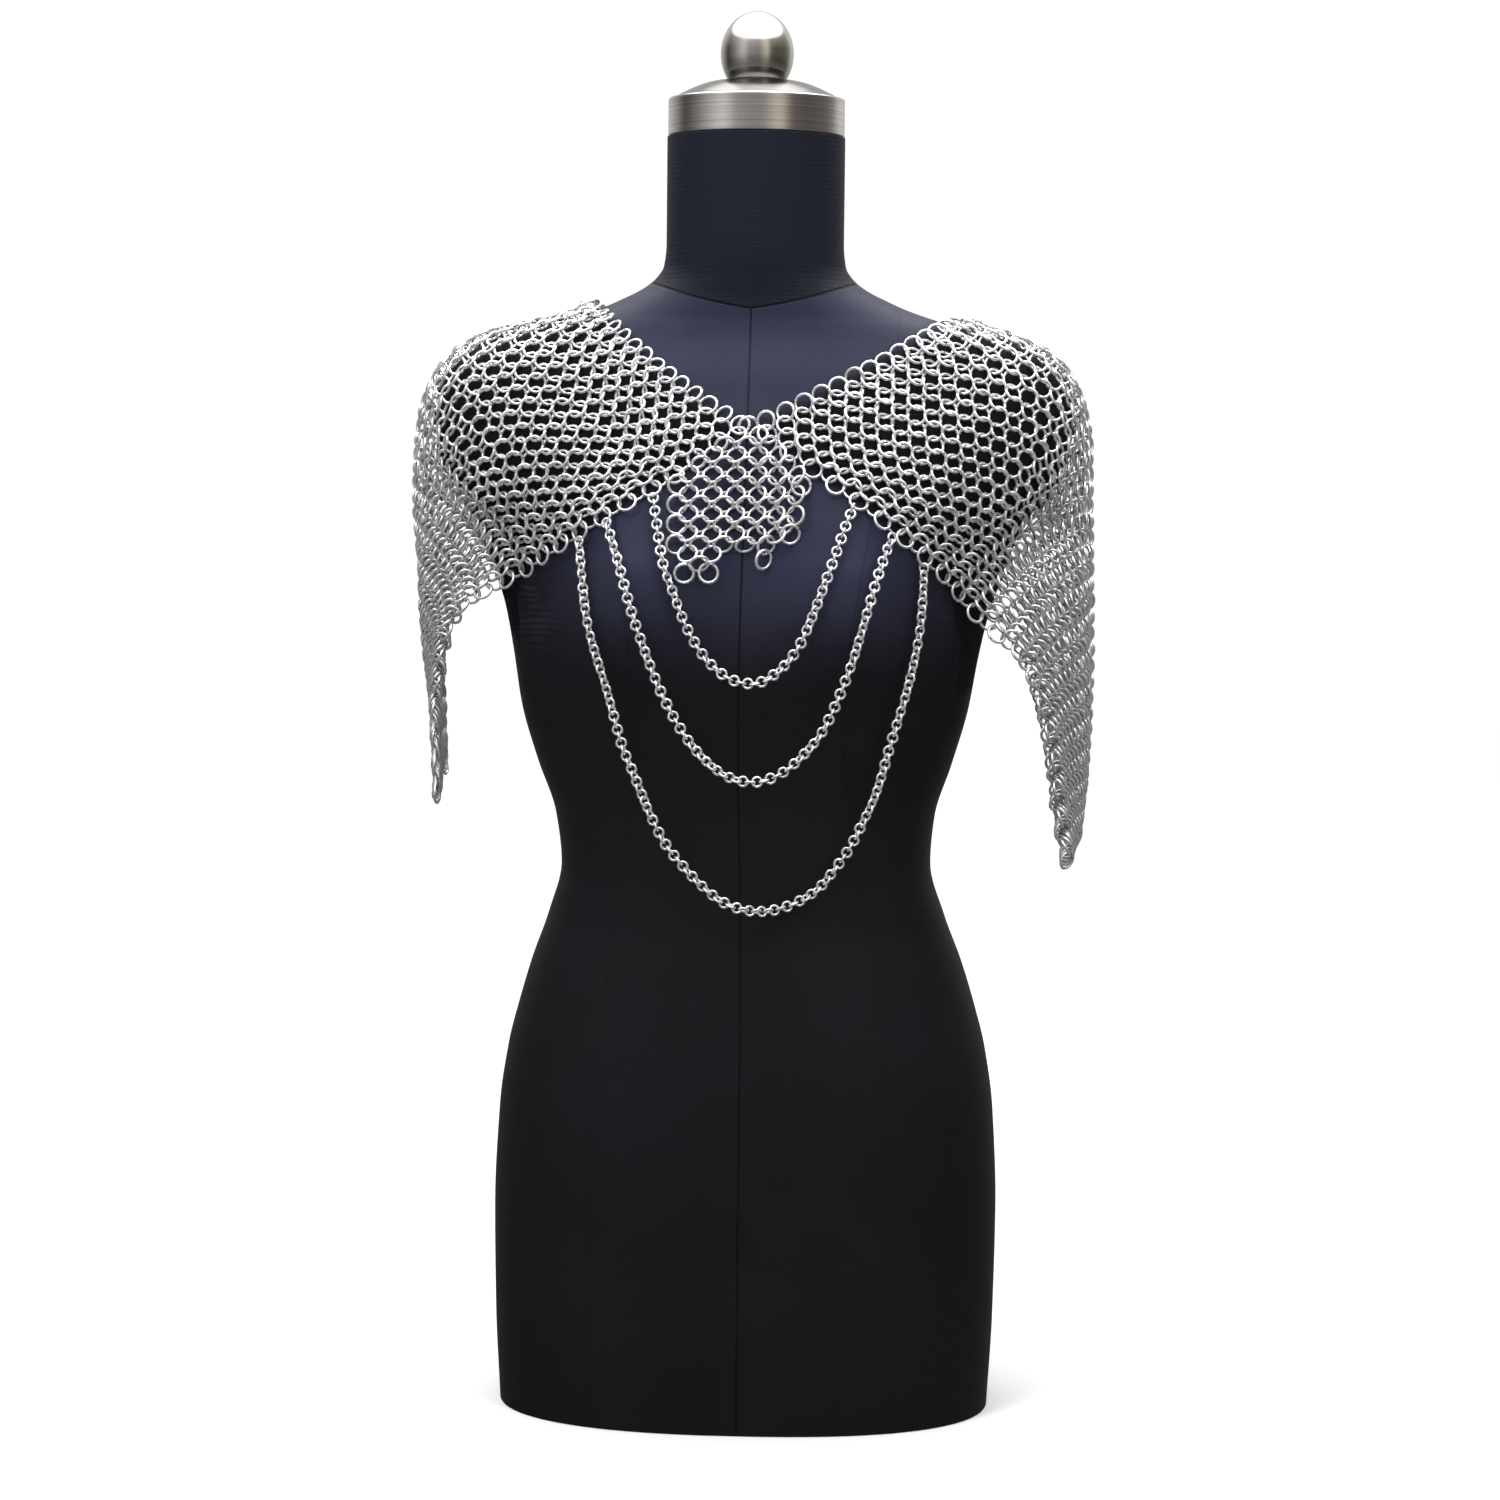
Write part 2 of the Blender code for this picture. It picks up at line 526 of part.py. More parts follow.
def build_flap(finish):
    """The centre-front flap, hung from the two front edges and bunched on its right side."""
    places = np.linspace(0.0, 1.0, len(FLAP_STATIONS))
    across = np.linspace(0.0, 1.0, FLAP_ALONG + 1)
    down = np.linspace(0.0, 1.0, FLAP_DOWN + 1)

    def column(name):
        return smooth_value(places, [getattr(row, name) for row in FLAP_STATIONS], across)

    top_side, bottom_side, bottom, lift = (column(name) for name in FlapStation._fields)
    top = front_edge_height(top_side) - FLAP_GAP
    side = top_side + (bottom_side - top_side) * down[:, None]
    height = top + (bottom - top) * down[:, None]
    clear = 0.5 * FLAP_THICKNESS + MAIL_CLEARANCE + lift * down[:, None]
    points = np.stack([side, depth_in_front(side, height, clear), height], axis=-1)
    thick = np.full_like(side, FLAP_THICKNESS)
    return wall_from_grid("mail_flap", points, thick, finish)


def smooth_route(points, spacing):
    """Points at an even spacing on a smooth curve through the route's own points."""
    points = np.asarray(points, dtype=float)
    ends = np.vstack([2 * points[0] - points[1], points, 2 * points[-1] - points[-2]])
    t = np.linspace(0.0, 1.0, ROUTE_SAMPLES, endpoint=False)[:, None]
    pieces = []
    for i in range(len(points) - 1):
        a, b, c, d = ends[i:i + 4]
        pieces.append(0.5 * (2 * b + (c - a) * t + (2 * a - 5 * b + 4 * c - d) * t ** 2
                             + (3 * b - a - 3 * c + d) * t ** 3))
    fine = np.vstack(pieces + [points[-1:]])
    length = np.concatenate([[0.0], np.cumsum(np.linalg.norm(np.diff(fine, axis=0), axis=1))])
    count = int(round(length[-1] / spacing)) + 1
    wanted = np.linspace(0.0, length[-1], count)
    return np.stack([np.interp(wanted, length, fine[:, axis]) for axis in range(3)], axis=-1)


def swag_path(swag):
    """A swag in space from one panel's front edge to the other's.

    Its ends hang just under the edges. It lies on the form down to where the bust stands
    out most, and from there it hangs straight down in front of the body.
    """
    ends = []
    for stations, share, drop in ((LEFT_STATIONS, swag.left_share, swag.left_drop),
                                  (RIGHT_STATIONS, swag.right_share, swag.right_drop)):
        edge = panel_points(stations, np.zeros(1), np.array([share]))[0][0]
        ends.append((edge[0], edge[2] - drop))
    flat = np.array([ends[0], *swag.route, ends[1]])
    clear = 0.5 * CHAIN_DIAMETER + CHAIN_CLEARANCE
    depth = depth_in_front(flat[:, 0], flat[:, 1], clear)
    lowest = int(np.argmin(flat[:, 1]))
    left = np.minimum.accumulate(depth[:lowest + 1])
    right = np.minimum.accumulate(depth[lowest:][::-1])[::-1]
    level = 0.5 * (left[-1] + right[0])
    steady = np.concatenate([left[:-1], [level], right[1:]])
    return np.stack([flat[:, 0], steady, flat[:, 1]], axis=-1)


def build_swag(name, swag, finish):
    """One chain swag as a plain tube along its route."""
    points = smooth_route(swag_path(swag), CHAIN_POINT_SPACING)
    curve = bpy.data.curves.new(name, "CURVE")
    curve.dimensions = "3D"
    curve.bevel_depth = 0.5 * CHAIN_DIAMETER
    curve.bevel_resolution = 2
    curve.use_fill_caps = True
    spline = curve.splines.new("POLY")
    spline.points.add(len(points) - 1)
    for target, point in zip(spline.points, points):
        target.co = (*point, 1.0)
    made = bpy.data.objects.new(name, curve)
    curve.materials.append(finish)
    bpy.context.scene.collection.objects.link(made)
    return made


def main():
    clear_scene()
    finishes = {name: material(name) for name in FINISHES}
    build_form(finishes["leather"])
    build_cap(finishes["steel"])
    build_finial(finishes["polished_steel"])
    build_panel("mail_left", LEFT_STATIONS, finishes["rings"])
    build_panel("mail_right", RIGHT_STATIONS, finishes["rings"])
    build_flap(finishes["rings"])
    for name, swag in SWAGS.items():
        build_swag(name, swag, finishes["chain"])


if __name__ == "__main__":
    main()
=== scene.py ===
"""Chainmail shoulder cape on its dress form, dressed with real rings, links and materials.

Metres, +Z up, front towards -Y. Left and right are -X and +X, as seen from the front.
"""
import math
from collections import namedtuple

import bpy
import numpy as np
from bpy.props import FloatProperty, FloatVectorProperty, IntProperty
from mathutils import Matrix, Vector


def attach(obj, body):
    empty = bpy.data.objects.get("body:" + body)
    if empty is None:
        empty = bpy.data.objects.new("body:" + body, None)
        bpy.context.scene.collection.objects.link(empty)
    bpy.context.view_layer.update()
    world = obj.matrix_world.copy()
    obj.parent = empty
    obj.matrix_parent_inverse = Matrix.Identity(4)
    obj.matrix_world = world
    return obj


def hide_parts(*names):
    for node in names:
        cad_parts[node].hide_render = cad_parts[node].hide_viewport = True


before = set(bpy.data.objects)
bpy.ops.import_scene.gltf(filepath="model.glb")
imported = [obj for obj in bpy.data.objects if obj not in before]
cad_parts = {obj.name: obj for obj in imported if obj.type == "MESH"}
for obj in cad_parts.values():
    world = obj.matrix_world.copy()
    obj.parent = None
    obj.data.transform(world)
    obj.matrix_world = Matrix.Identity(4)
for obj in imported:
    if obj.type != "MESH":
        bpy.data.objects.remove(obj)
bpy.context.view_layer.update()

bl_info = {
    "name": "Chainmail Shoulder Cape",
    "version": (1, 0, 0),
    "blender": (4, 5, 0),
    "location": "View3D > Sidebar > Cape",
    "description": "Builds a shoulder cape of linked rings on a dress form",
    "category": "Object",
}

# Shape of the form and the lie of the mail, shared with the solids

NECK_RADIUS = 0.057
NECK_TOP = 0.8200
BUST_HEIGHT = 0.519
BUST_SIDE = 0.074
BUST_RISE = 0.026
BUST_SPREAD_X = 0.040
BUST_SPREAD_UP = 0.062
BUST_SPREAD_DOWN = 0.034
LEAN = 0.0035
LEAN_HEIGHT = 0.450
LEAN_SPREAD = 0.120

SEAM_GAP = 0.0003
CAP_BAND_RADIUS = 0.0565
CAP_BAND_TOP = 0.8445
CAP_EDGE_ROUND = 0.0012
CAP_DOME_TOP = 0.8560
CAP_SEAT_RADIUS = 0.0200
FINIAL_HALF_WIDTH = 0.0234
FINIAL_HALF_HEIGHT = 0.0270
FINIAL_TOP = 0.9000

MAIL_CLEARANCE = 0.0008
MAIL_SPRING = 0.0012
CHAIN_CLEARANCE = 0.0012
CHAIN_POINT_SPACING = 0.0165

# How finely surfaces and routes are worked out
SLOPE_STEP = 0.0005
SETTLE_PASSES = 8
SETTLE_REACH = 0.008
DEPTH_STEP = 0.0005
NEAREST_DEPTH = 0.030
FARTHEST_DEPTH = 0.160
ROW_SAMPLES = 161
ROUTE_SAMPLES = 24
# How far across the rows the panels' front edges are followed, and at how many places
EDGE_REACH = 0.3
EDGE_SAMPLES = 60

# Cross-sections of the form: half width, depth in front of and behind the middle, squareness
FormSection = namedtuple("FormSection", "height half_width front back squareness")
FORM_SECTIONS = tuple(FormSection(*row) for row in (
    (0.0, 0.16, 0.101, 0.116, 2.4), (0.06, 0.163, 0.104, 0.123, 2.4),
    (0.13, 0.164, 0.105, 0.126, 2.4), (0.195, 0.161, 0.103, 0.123, 2.4),
    (0.234, 0.1555, 0.1, 0.118, 2.35), (0.26, 0.149, 0.097, 0.112, 2.3),
    (0.29, 0.14, 0.093, 0.104, 2.25), (0.32, 0.129, 0.089, 0.096, 2.2),
    (0.354, 0.12, 0.087, 0.091, 2.2), (0.385, 0.123, 0.088, 0.091, 2.2),
    (0.42, 0.1345, 0.092, 0.095, 2.2), (0.455, 0.1446, 0.097, 0.099, 2.2),
    (0.49, 0.1505, 0.1, 0.102, 2.2), (0.52, 0.1568, 0.101, 0.104, 2.2),
    (0.545, 0.1655, 0.1, 0.105, 2.2), (0.56, 0.17, 0.098, 0.105, 2.2),
    (0.575, 0.178, 0.096, 0.105, 2.2), (0.59, 0.19, 0.093, 0.104, 2.2),
    (0.604, 0.199, 0.089, 0.102, 2.2), (0.62, 0.204, 0.085, 0.1, 2.2),
    (0.638, 0.206, 0.079, 0.096, 2.2), (0.655, 0.204, 0.072, 0.091, 2.2),
    (0.667, 0.1985, 0.067, 0.087, 2.2), (0.677, 0.19, 0.062, 0.083, 2.2),
    (0.685, 0.1785, 0.058, 0.079, 2.2), (0.692, 0.1615, 0.055, 0.076, 2.2),
    (0.699, 0.137, 0.053, 0.072, 2.2), (0.705, 0.1155, 0.052, 0.069, 2.15),
    (0.711, 0.098, 0.052, 0.066, 2.1), (0.717, 0.0845, 0.052, 0.064, 2.05),
    (0.723, 0.0725, 0.053, 0.061, 2.0), (0.73, 0.0635, 0.054, 0.059, 2.0),
    (0.738, 0.0585, 0.0555, 0.0575, 2.0), (0.752, 0.057, 0.0565, 0.057, 2.0),
    (NECK_TOP, NECK_RADIUS, NECK_RADIUS, NECK_RADIUS, 2.0),
))

# Stations of a mail panel across its rows, from the neckline out to the hem on the arm.
# curl bends a row into an arch, lie is how closely it hugs the form, thick is the mail's
# thickness. edge is the front lower edge, ridge the line over the shoulder, tail the back lower
# edge, and dip is how far the middle of the row's front half hangs below a straight line.
MailStation = namedtuple("MailStation", "across curl lie thick edge ridge tail dip")
MAIL_LIE = (
    (0.0, 1.0, 1.0, 0.0052), (0.09, 1.0, 1.0, 0.0052), (0.18, 1.02, 0.7, 0.0052),
    (0.27, 1.06, 0.35, 0.0054), (0.36, 1.12, 0.25, 0.0058), (0.45, 1.25, 0.15, 0.0062),
    (0.54, 1.4, 0.0, 0.0066), (0.62, 1.55, 0.0, 0.007), (0.7, 1.7, 0.0, 0.0072),
    (0.8, 1.8, 0.0, 0.0072), (0.9, 1.9, 0.0, 0.0072), (1.0, 1.95, 0.0, 0.0072),
)
LEFT_ROWS = (
    ((-0.0004, -0.086, 0.635), (-0.107, 0.008, 0.711), (-0.0004, 0.096, 0.64), 0.0045),
    ((-0.0262, -0.091, 0.615), (-0.139, 0.008, 0.7035), (-0.027, 0.103, 0.62), 0.003),
    ((-0.052, -0.096, 0.597), (-0.17, 0.008, 0.6915), (-0.054, 0.107, 0.601), 0.0015),
    ((-0.079, -0.098, 0.58), (-0.1975, 0.008, 0.6745), (-0.081, 0.107, 0.584), 0.0),
    ((-0.105, -0.091, 0.564), (-0.2145, 0.009, 0.6475), (-0.107, 0.103, 0.568), 0.0),
    ((-0.1275, -0.076, 0.55), (-0.218, 0.01, 0.614), (-0.131, 0.097, 0.554), 0.0),
    ((-0.1518, -0.063, 0.535), (-0.2175, 0.012, 0.581), (-0.164, 0.09, 0.545), 0.0),
    ((-0.1767, -0.057, 0.522), (-0.2155, 0.014, 0.552), (-0.196, 0.083, 0.532), 0.0),
    ((-0.1897, -0.054, 0.4973), (-0.2125, 0.015, 0.522), (-0.211, 0.078, 0.508), 0.0),
    ((-0.1928, -0.052, 0.463), (-0.2095, 0.016, 0.486), (-0.215, 0.072, 0.472), 0.0),
    ((-0.193, -0.05, 0.4275), (-0.2055, 0.016, 0.45), (-0.214, 0.066, 0.435), 0.0),
    ((-0.194, -0.047, 0.39), (-0.203, 0.016, 0.4135), (-0.213, 0.06, 0.398), 0.0),
)
RIGHT_ROWS = (
    ((0.0004, -0.086, 0.635), (0.1285, 0.008, 0.698), (0.0004, 0.096, 0.64), -0.0025),
    ((0.0279, -0.091, 0.615), (0.163, 0.008, 0.6935), (0.029, 0.103, 0.619), -0.0015),
    ((0.0556, -0.097, 0.5965), (0.192, 0.008, 0.68), (0.057, 0.107, 0.599), 0.0),
    ((0.0823, -0.099, 0.576), (0.2105, 0.008, 0.655), (0.084, 0.107, 0.58), 0.0),
    ((0.1075, -0.09, 0.5558), (0.217, 0.009, 0.621), (0.109, 0.103, 0.561), 0.0),
    ((0.129, -0.075, 0.5355), (0.217, 0.01, 0.585), (0.131, 0.097, 0.542), 0.0),
    ((0.1495, -0.066, 0.511), (0.217, 0.012, 0.551), (0.151, 0.09, 0.518), 0.0),
    ((0.1724, -0.062, 0.4915), (0.217, 0.014, 0.521), (0.172, 0.084, 0.496), 0.0),
    ((0.1846, -0.059, 0.4644), (0.217, 0.015, 0.491), (0.1845, 0.079, 0.47), 0.0),
    ((0.193, -0.057, 0.428), (0.216, 0.016, 0.453), (0.192, 0.072, 0.434), 0.0),
    ((0.1967, -0.054, 0.3907), (0.215, 0.016, 0.416), (0.1965, 0.065, 0.397), 0.0),
    ((0.207, -0.05, 0.353), (0.212, 0.016, 0.378), (0.203, 0.058, 0.36), 0.0),
)
LEFT_STATIONS, RIGHT_STATIONS = (
    tuple(MailStation(*lie, *row) for lie, row in zip(MAIL_LIE, rows))
    for rows in (LEFT_ROWS, RIGHT_ROWS))
# How far a row on the form bows away from its straight chord, front and back
ROW_FULLNESS = 0.80
# How softly a row turns over the ridge, as a share of half a row
RIDGE_SOFTNESS = 0.28

# Depth of the soft gathers that the hanging mail shuts into, how many run along a row, and how far
# across the rows they start
GATHER_DEPTH = 0.0030
GATHERS = 3.0
GATHER_FROM = 0.50

# Stations of the centre-front flap from left to right: side places of its top and bottom, height
# of its bottom, lift off the skin
FlapStation = namedtuple("FlapStation", "side_top side_bottom bottom lift")
FLAP_STATIONS = tuple(FlapStation(*row) for row in (
    (-0.0455, -0.0428, 0.547, 0.0), (-0.0335, -0.034, 0.539, 0.0),
    (-0.02, -0.022, 0.54, 0.0006), (-0.006, -0.009, 0.551, 0.0),
    (0.008, 0.005, 0.554, 0.0012), (0.0225, 0.019, 0.55, 0.003),
    (0.0385, 0.035, 0.572, 0.0),
))

# Chain swags: where along each panel's front edge they hang and how far below it they start,
# and the route between as side place and height, left to right
Swag = namedtuple("Swag", "left_share left_drop right_share right_drop route")
SWAGS = {
    "chain_inner": Swag(0.1985, 0.0015, 0.218, 0.0012, (
        (-0.0505, 0.553), (-0.0454, 0.5387), (-0.0384, 0.5196), (-0.0327, 0.5074), (-0.0252, 0.4951),
        (-0.0165, 0.486), (-0.0055, 0.479), (0.007, 0.4772), (0.0195, 0.483), (0.0291, 0.4934),
        (0.0358, 0.5027), (0.0447, 0.5244), (0.0501, 0.5392), (0.055, 0.553), (0.061, 0.571))),
    "chain_middle": Swag(0.2915, 0.0005, 0.298, 0.0008, (
        (-0.0765, 0.548), (-0.071, 0.5292), (-0.064, 0.5071), (-0.0577, 0.4912), (-0.052, 0.4758),
        (-0.0388, 0.4507), (-0.03, 0.4384), (-0.0195, 0.4274), (-0.0085, 0.42), (0.005, 0.4166),
        (0.0185, 0.419), (0.0312, 0.427), (0.0427, 0.4394), (0.052, 0.4525), (0.0644, 0.4823),
        (0.0709, 0.5027), (0.0773, 0.5255), (0.084, 0.549))),
    "chain_outer": Swag(0.349, 0.0012, 0.37, 0.0028, (
        (-0.1006, 0.5401), (-0.0982, 0.5203), (-0.0938, 0.5005), (-0.084, 0.4696), (-0.0757, 0.4398),
        (-0.0685, 0.422), (-0.0585, 0.398), (-0.0497, 0.3796), (-0.0389, 0.3654), (-0.0301, 0.3558),
        (-0.019, 0.3455), (-0.005, 0.3372), (0.0115, 0.3338), (0.0256, 0.3352), (0.0375, 0.3407),
        (0.048, 0.348), (0.0582, 0.3606), (0.0668, 0.3733), (0.0734, 0.3865), (0.0831, 0.4085),
        (0.0925, 0.4422), (0.0996, 0.4659), (0.1062, 0.494), (0.1094, 0.516), (0.1105, 0.535))),
}

# The flap's lattice: its columns of rings from left to right, as side places, its lowest height,
# the steps from ring to ring up a column, and how many there are
FLAP_COLUMNS = (-0.0424, -0.0355, -0.0283, -0.0208, -0.0136, -0.0064, 0.0004, 0.0070,
                0.0132, 0.0192, 0.0252, 0.0312)
FLAP_LOWEST = 0.5440
FLAP_PITCH = 0.0122
FLAP_STEPS = 9
# How far the flap's highest rings stay below the panels' edges, how far they reach up behind them
# at the middle, and over what width
FLAP_TOP_GAP, FLAP_TUCK, FLAP_TUCK_WIDTH = 0.0010, 0.0085, 0.018
# How far the lowest rings stay above the flap's lower edge
FLAP_BOTTOM_GAP = 0.0090
# How far off the skin the flap's rings and its single rings are, and the height over which the
# stations' lift grows
FLAP_CLEAR, FLAP_RING_CLEAR, FLAP_DROP = 0.0034, 0.0040, 0.08
# Side place where the flap is fully bunched, at its right
FLAP_BUNCH_SIDE = 0.030
# The way the flap's rings face: a share of the skin's own direction, and straight ahead
FLAP_SKIN_SHARE, FLAP_AHEAD = 0.25, (0.0, -0.75, -0.05)
# Tilt of the flap's rings, that of its first column, and the share lost where it is bunched
FLAP_TILT, FLAP_EDGE_TILT, FLAP_TILT_LOSS = 0.64, 0.25, 0.4
# Turn and play of the flap's rings, each with what the bunching adds
FLAP_TURN, FLAP_TURN_MORE = 0.22, 0.55
FLAP_PLAY, FLAP_PLAY_MORE = 1.4, 3.0
# The flap's rings are this much wider than the panels'
FLAP_RING_SIZE = 1.02
# Single rings that hang from the flap's lower and right edges: side place, height, tilt and turn
FlapRing = namedtuple("FlapRing", "side height tilt turn")
FLAP_RINGS = (FlapRing(-0.0370, 0.5446, 0.15, 0.10), FlapRing(-0.0222, 0.5448, -0.20, 0.15),
              FlapRing(0.0280, 0.5692, 0.10, 0.30), FlapRing(0.0342, 0.5990, -0.10, 0.20),
              FlapRing(0.0120, 0.5532, 0.30, 1.20))

# Sizes of the pieces of mail laid out flat, and the steps round a ring and round its wire
RING_STEPS = (14, 5)
# Turns of a ring's closed joint for each unit of its tone, which spreads the joints evenly
JOINT_SPREAD = 7.31

# Chain links: steps along the swag's fine line, how their twist comes and goes from link to link,
# how far each one strays by chance, and the steps round their wire
CHAIN_FINE_STEP = 0.0004
LINK_WAVE, LINK_PLAY = 0.37, 0.12
LINK_WIRE_STEPS = 6

# Seeds of the chance in the chains, the two panels and the flap
CHAIN_SEED, LEFT_SEED, RIGHT_SEED, FLAP_SEED = 11, 21, 22, 23

# The form's skin: how much its rings' heights follow even steps, the rest following the table, and
# how close to its ends it has one more ring, which keeps their edges crisp
EVEN_SHARE = 0.45
RIM_STEP = 0.0005
# Size of the small ring that closes an end, as a share of the end
POLE_SIZE = 0.002
# The princess seams: their side place where they are nearest the middle, how much wider they run
# far from it, the height of that place, and over what height they widen
PRINCESS_SIDE, PRINCESS_MORE, PRINCESS_HEIGHT, PRINCESS_SPREAD = 0.066, 0.030, 0.45, 0.16
# Height of the collar seam at the sides, and how much it rises (less than 0: falls) to the middle
# in front and behind
COLLAR_HEIGHT, COLLAR_FRONT, COLLAR_BACK = 0.7270, -0.0175, 0.010
# Width of the soft border of the painted shade on the leather under the mail, where the leather is also
# made rougher, and the share of the panels' width, from the neckline, that lies on the form
COVER_BORDER = 0.006
COVER_SHARE = 0.7

# The cap: steps round its small edges, how far from its ends the band has one more ring, how far
# in from the rim and down from the band's top the groove's bottom is, how far in and up the lid
# starts, the steps over the lid and the ball, and the angle where the ball's top is closed
CAP_EDGE_STEPS = 6
CAP_BAND_STEP = 0.004
CAP_GROOVE_IN, CAP_GROOVE_DOWN = 0.0008, 0.0004
CAP_LID_IN, CAP_LID_UP = 0.0014, 0.0002
CAP_LID_STEPS = 20
BALL_STEPS = 48
BALL_TOP_ANGLE = 0.5 * math.pi - 0.02

# Walls of the dim studio that the metal mirrors: degrees round from the camera, positive to the
# right, how bright the wall is there and how warm
WALL_TONES = (
    (-180, 0.46, 0.02), (-150, 0.55, 0.02), (-127, 0.36, 0.03), (-103, 0.10, 0.06),
    (-80, 0.24, 0.05), (-63, 0.46, 0.02), (-42, 0.72, 0.00), (-20, 0.36, 0.02),
    (6, 0.30, 0.03), (32, 0.58, 0.16), (50, 0.16, 0.14), (68, 0.11, 0.10),
    (96, 0.13, 0.08), (116, 0.24, 0.06), (142, 0.66, 0.04), (180, 0.46, 0.02),
)
# Rings of the studio's skin from its floor's middle up over the walls to the ceiling's middle:
# radius, height, how bright each is, and how much of that is the same all round
STUDIO_RINGS = (
    (0.01, -0.25, 0.22, 0.5), (3.0, -0.25, 0.35, 0.3), (3.0, 0.30, 0.60, 0.0),
    (3.0, 0.90, 1.00, 0.0), (3.0, 1.50, 1.15, 0.0), (3.0, 2.55, 1.30, 0.2),
    (2.9, 2.70, 1.60, 0.3), (1.9, 2.80, 4.60, 1.0), (0.01, 3.20, 6.50, 1.0),
)
WALL_STEPS = 120
# How much a warm tone adds to the wall's red for each part that it takes from its blue
WARM_RED = 0.5

# The soft lamps, the height that they point at, the width of the camera's film, and the floor's
# half width and how far it lies below the form's foot
Lamp = namedtuple("Lamp", "name spot size power colour")
LAMPS = (Lamp("key", (-1.1, -1.7, 2.1), 0.9, 30.0, (1.0, 0.99, 0.97)),
         Lamp("fill", (1.4, -1.7, 1.5), 0.7, 14.0, (0.95, 0.97, 1.0)),
         Lamp("top", (0.0, 0.2, 2.4), 1.2, 10.0, (1.0, 1.0, 1.0)))
LAMP_AIM = 0.55
FILM_WIDTH = 36.0
FLOOR_REACH, FLOOR_DROP = 6.0, 0.0005

# Tilt of a ring against the mail's surface, by the pitch of its row there
TILT_PITCHES = (0.0046, 0.0065, 0.0090, 0.0130)
TILT_ANGLES = (0.90, 0.68, 0.46, 0.40)
# Where the first ring of a row that reaches the front edge sits, in rings from that edge, and how
# much longer a row is than its rings
FIRST_RING, SPARE_RINGS = 0.35, 0.2
# The share of its tilt that an edge ring has, and how much more play edge and neckline rings have
EDGE_TILT, EDGE_PLAY, NECK_PLAY = 0.35, 2.2, 2.0

# How much closer a row's rings stand at its two ends than in its middle, across the rows
CROWD_PLACES = (0.0, 0.22, 0.38, 0.55, 1.0)
CROWDS = (-0.25, 0.35, 0.30, 0.0, 0.0)
# Where, across the rows, row_shift says how far a row's middle stands closer to the neck
ROW_SHIFT_PLACES = (0.0, 0.10, 0.25, 0.40, 0.55, 0.80, 1.0)
# Where the first row stands, in rows from the sheet's edge
FIRST_ROW = 0.05
# Where, across the rows, tail and lean say how far the hanging rows are drawn in sideways to their
# middle line and how much of their rings' tilt is left
TAIL_PLACES = (0.60, 0.74, 0.88, 1.00)
# How much further out a hanging row's middle line runs towards the back, as a share for each
# metre of depth
TAIL_FLARE = 0.43
# Height below which the hanging rings are painted darker, as painted shade, and made rougher, over this
# much height, and there how much closer together and how much lower their tones are
SHADE_FROM, SHADE_OVER = 0.615, 0.10
SHADE_CLOSER, SHADE_LOWER = 0.6, 0.35

# How a panel's rings are laid: one in two rows reaches the front edge (0 even, 1 odd rows), and
# the row's middle stands shoulder_rows rows further out than its ends, less row_shift; links are
# single rings that join the panels at the centre back, LINK_CLEAR off the skin
PanelLayout = namedtuple("PanelLayout", "stick_out shoulder_rows row_shift tail lean links")
LINK_CLEAR = 0.0030
LEFT_LAYOUT = PanelLayout(0, 0.10, (0.0, 0.018, 0.048, 0.072, 0.072, 0.028, 0.0),
                          (1.0, 0.65, 0.15, 0.05), (1.0, 0.90, 0.55, 0.45),
                          ((-0.0015, 0.098, 0.6415),))
RIGHT_LAYOUT = PanelLayout(1, 0.65, (0.0, 0.020, 0.046, 0.062, 0.055, 0.020, 0.0),
                           (1.0, 0.95, 0.80, 0.45), (1.0, 1.0, 1.0, 0.80),
                           ((0.0062, 0.098, 0.6335), (-0.0030, 0.098, 0.6290)))

# Space left between a leaning ring and the form's skin
RING_CLEAR = 0.0004

# Colours that the materials blend to, apart from those in the settings
JOINT_COLOUR = (0.10, 0.10, 0.11, 1.0)
# The leather's waist colours are painted shade, and the chest's colour is painted light from above
SHADED_WAIST_COLOURS = (0.0030, 0.0028, 0.0044, 1.0), (0.0040, 0.0038, 0.0060, 1.0)
LIT_CHEST_COLOUR = (0.0115, 0.0131, 0.0280, 1.0)
NECK_COLOUR = (0.0052, 0.0064, 0.0130, 1.0)
RIPPLE_COLOUR = (0.0175, 0.0190, 0.0280, 1.0)
# Painted shade on the leather under the mail
UNDER_MAIL_SHADE_COLOUR = (0.0026, 0.0027, 0.0040, 1.0)
SEAM_COLOUR = (0.0012, 0.0012, 0.0016, 1.0)
BRUSHED_COLOUR = (0.50, 0.465, 0.445, 1.0)
LID_COLOUR = (0.070, 0.068, 0.067, 1.0)
SMUDGE_COLOUR = (0.50, 0.475, 0.45, 1.0)
PIT_COLOUR = (0.22, 0.20, 0.19, 1.0)
FLOOR_COLOURS = (0.95, 0.95, 0.95, 1.0), (0.98, 0.98, 0.98, 1.0)


def xyz(x, y, z):
    """Points from their three coordinates, spread out to the shape that these share."""
    return np.stack(np.broadcast_arrays(x, y, z), axis=-1)


def unit(vectors):
    """Each vector at length one."""
    return vectors / np.linalg.norm(vectors, axis=-1, keepdims=True)


def square_to(vectors, axes):
    """Each vector squared up to its unit axis: v - a (v . a), at length one."""
    return unit(vectors - axes * np.sum(vectors * axes, axis=1, keepdims=True))


def full_turn(steps):
    """Angles at even steps round one whole turn, from zero."""
    return np.arange(steps) * 2.0 * np.pi / steps


def length_along(points):
    """Length of a line of points from its first point to each one."""
    steps = np.linalg.norm(np.diff(points, axis=-2), axis=-1)
    return np.concatenate([np.zeros(steps.shape[:-1] + (1,)), np.cumsum(steps, axis=-1)], axis=-1)


def points_at(wanted, length, line):
    """Points on a line of points at the wanted lengths along it."""
    return xyz(*(np.interp(wanted, length, line[:, axis]) for axis in range(3)))


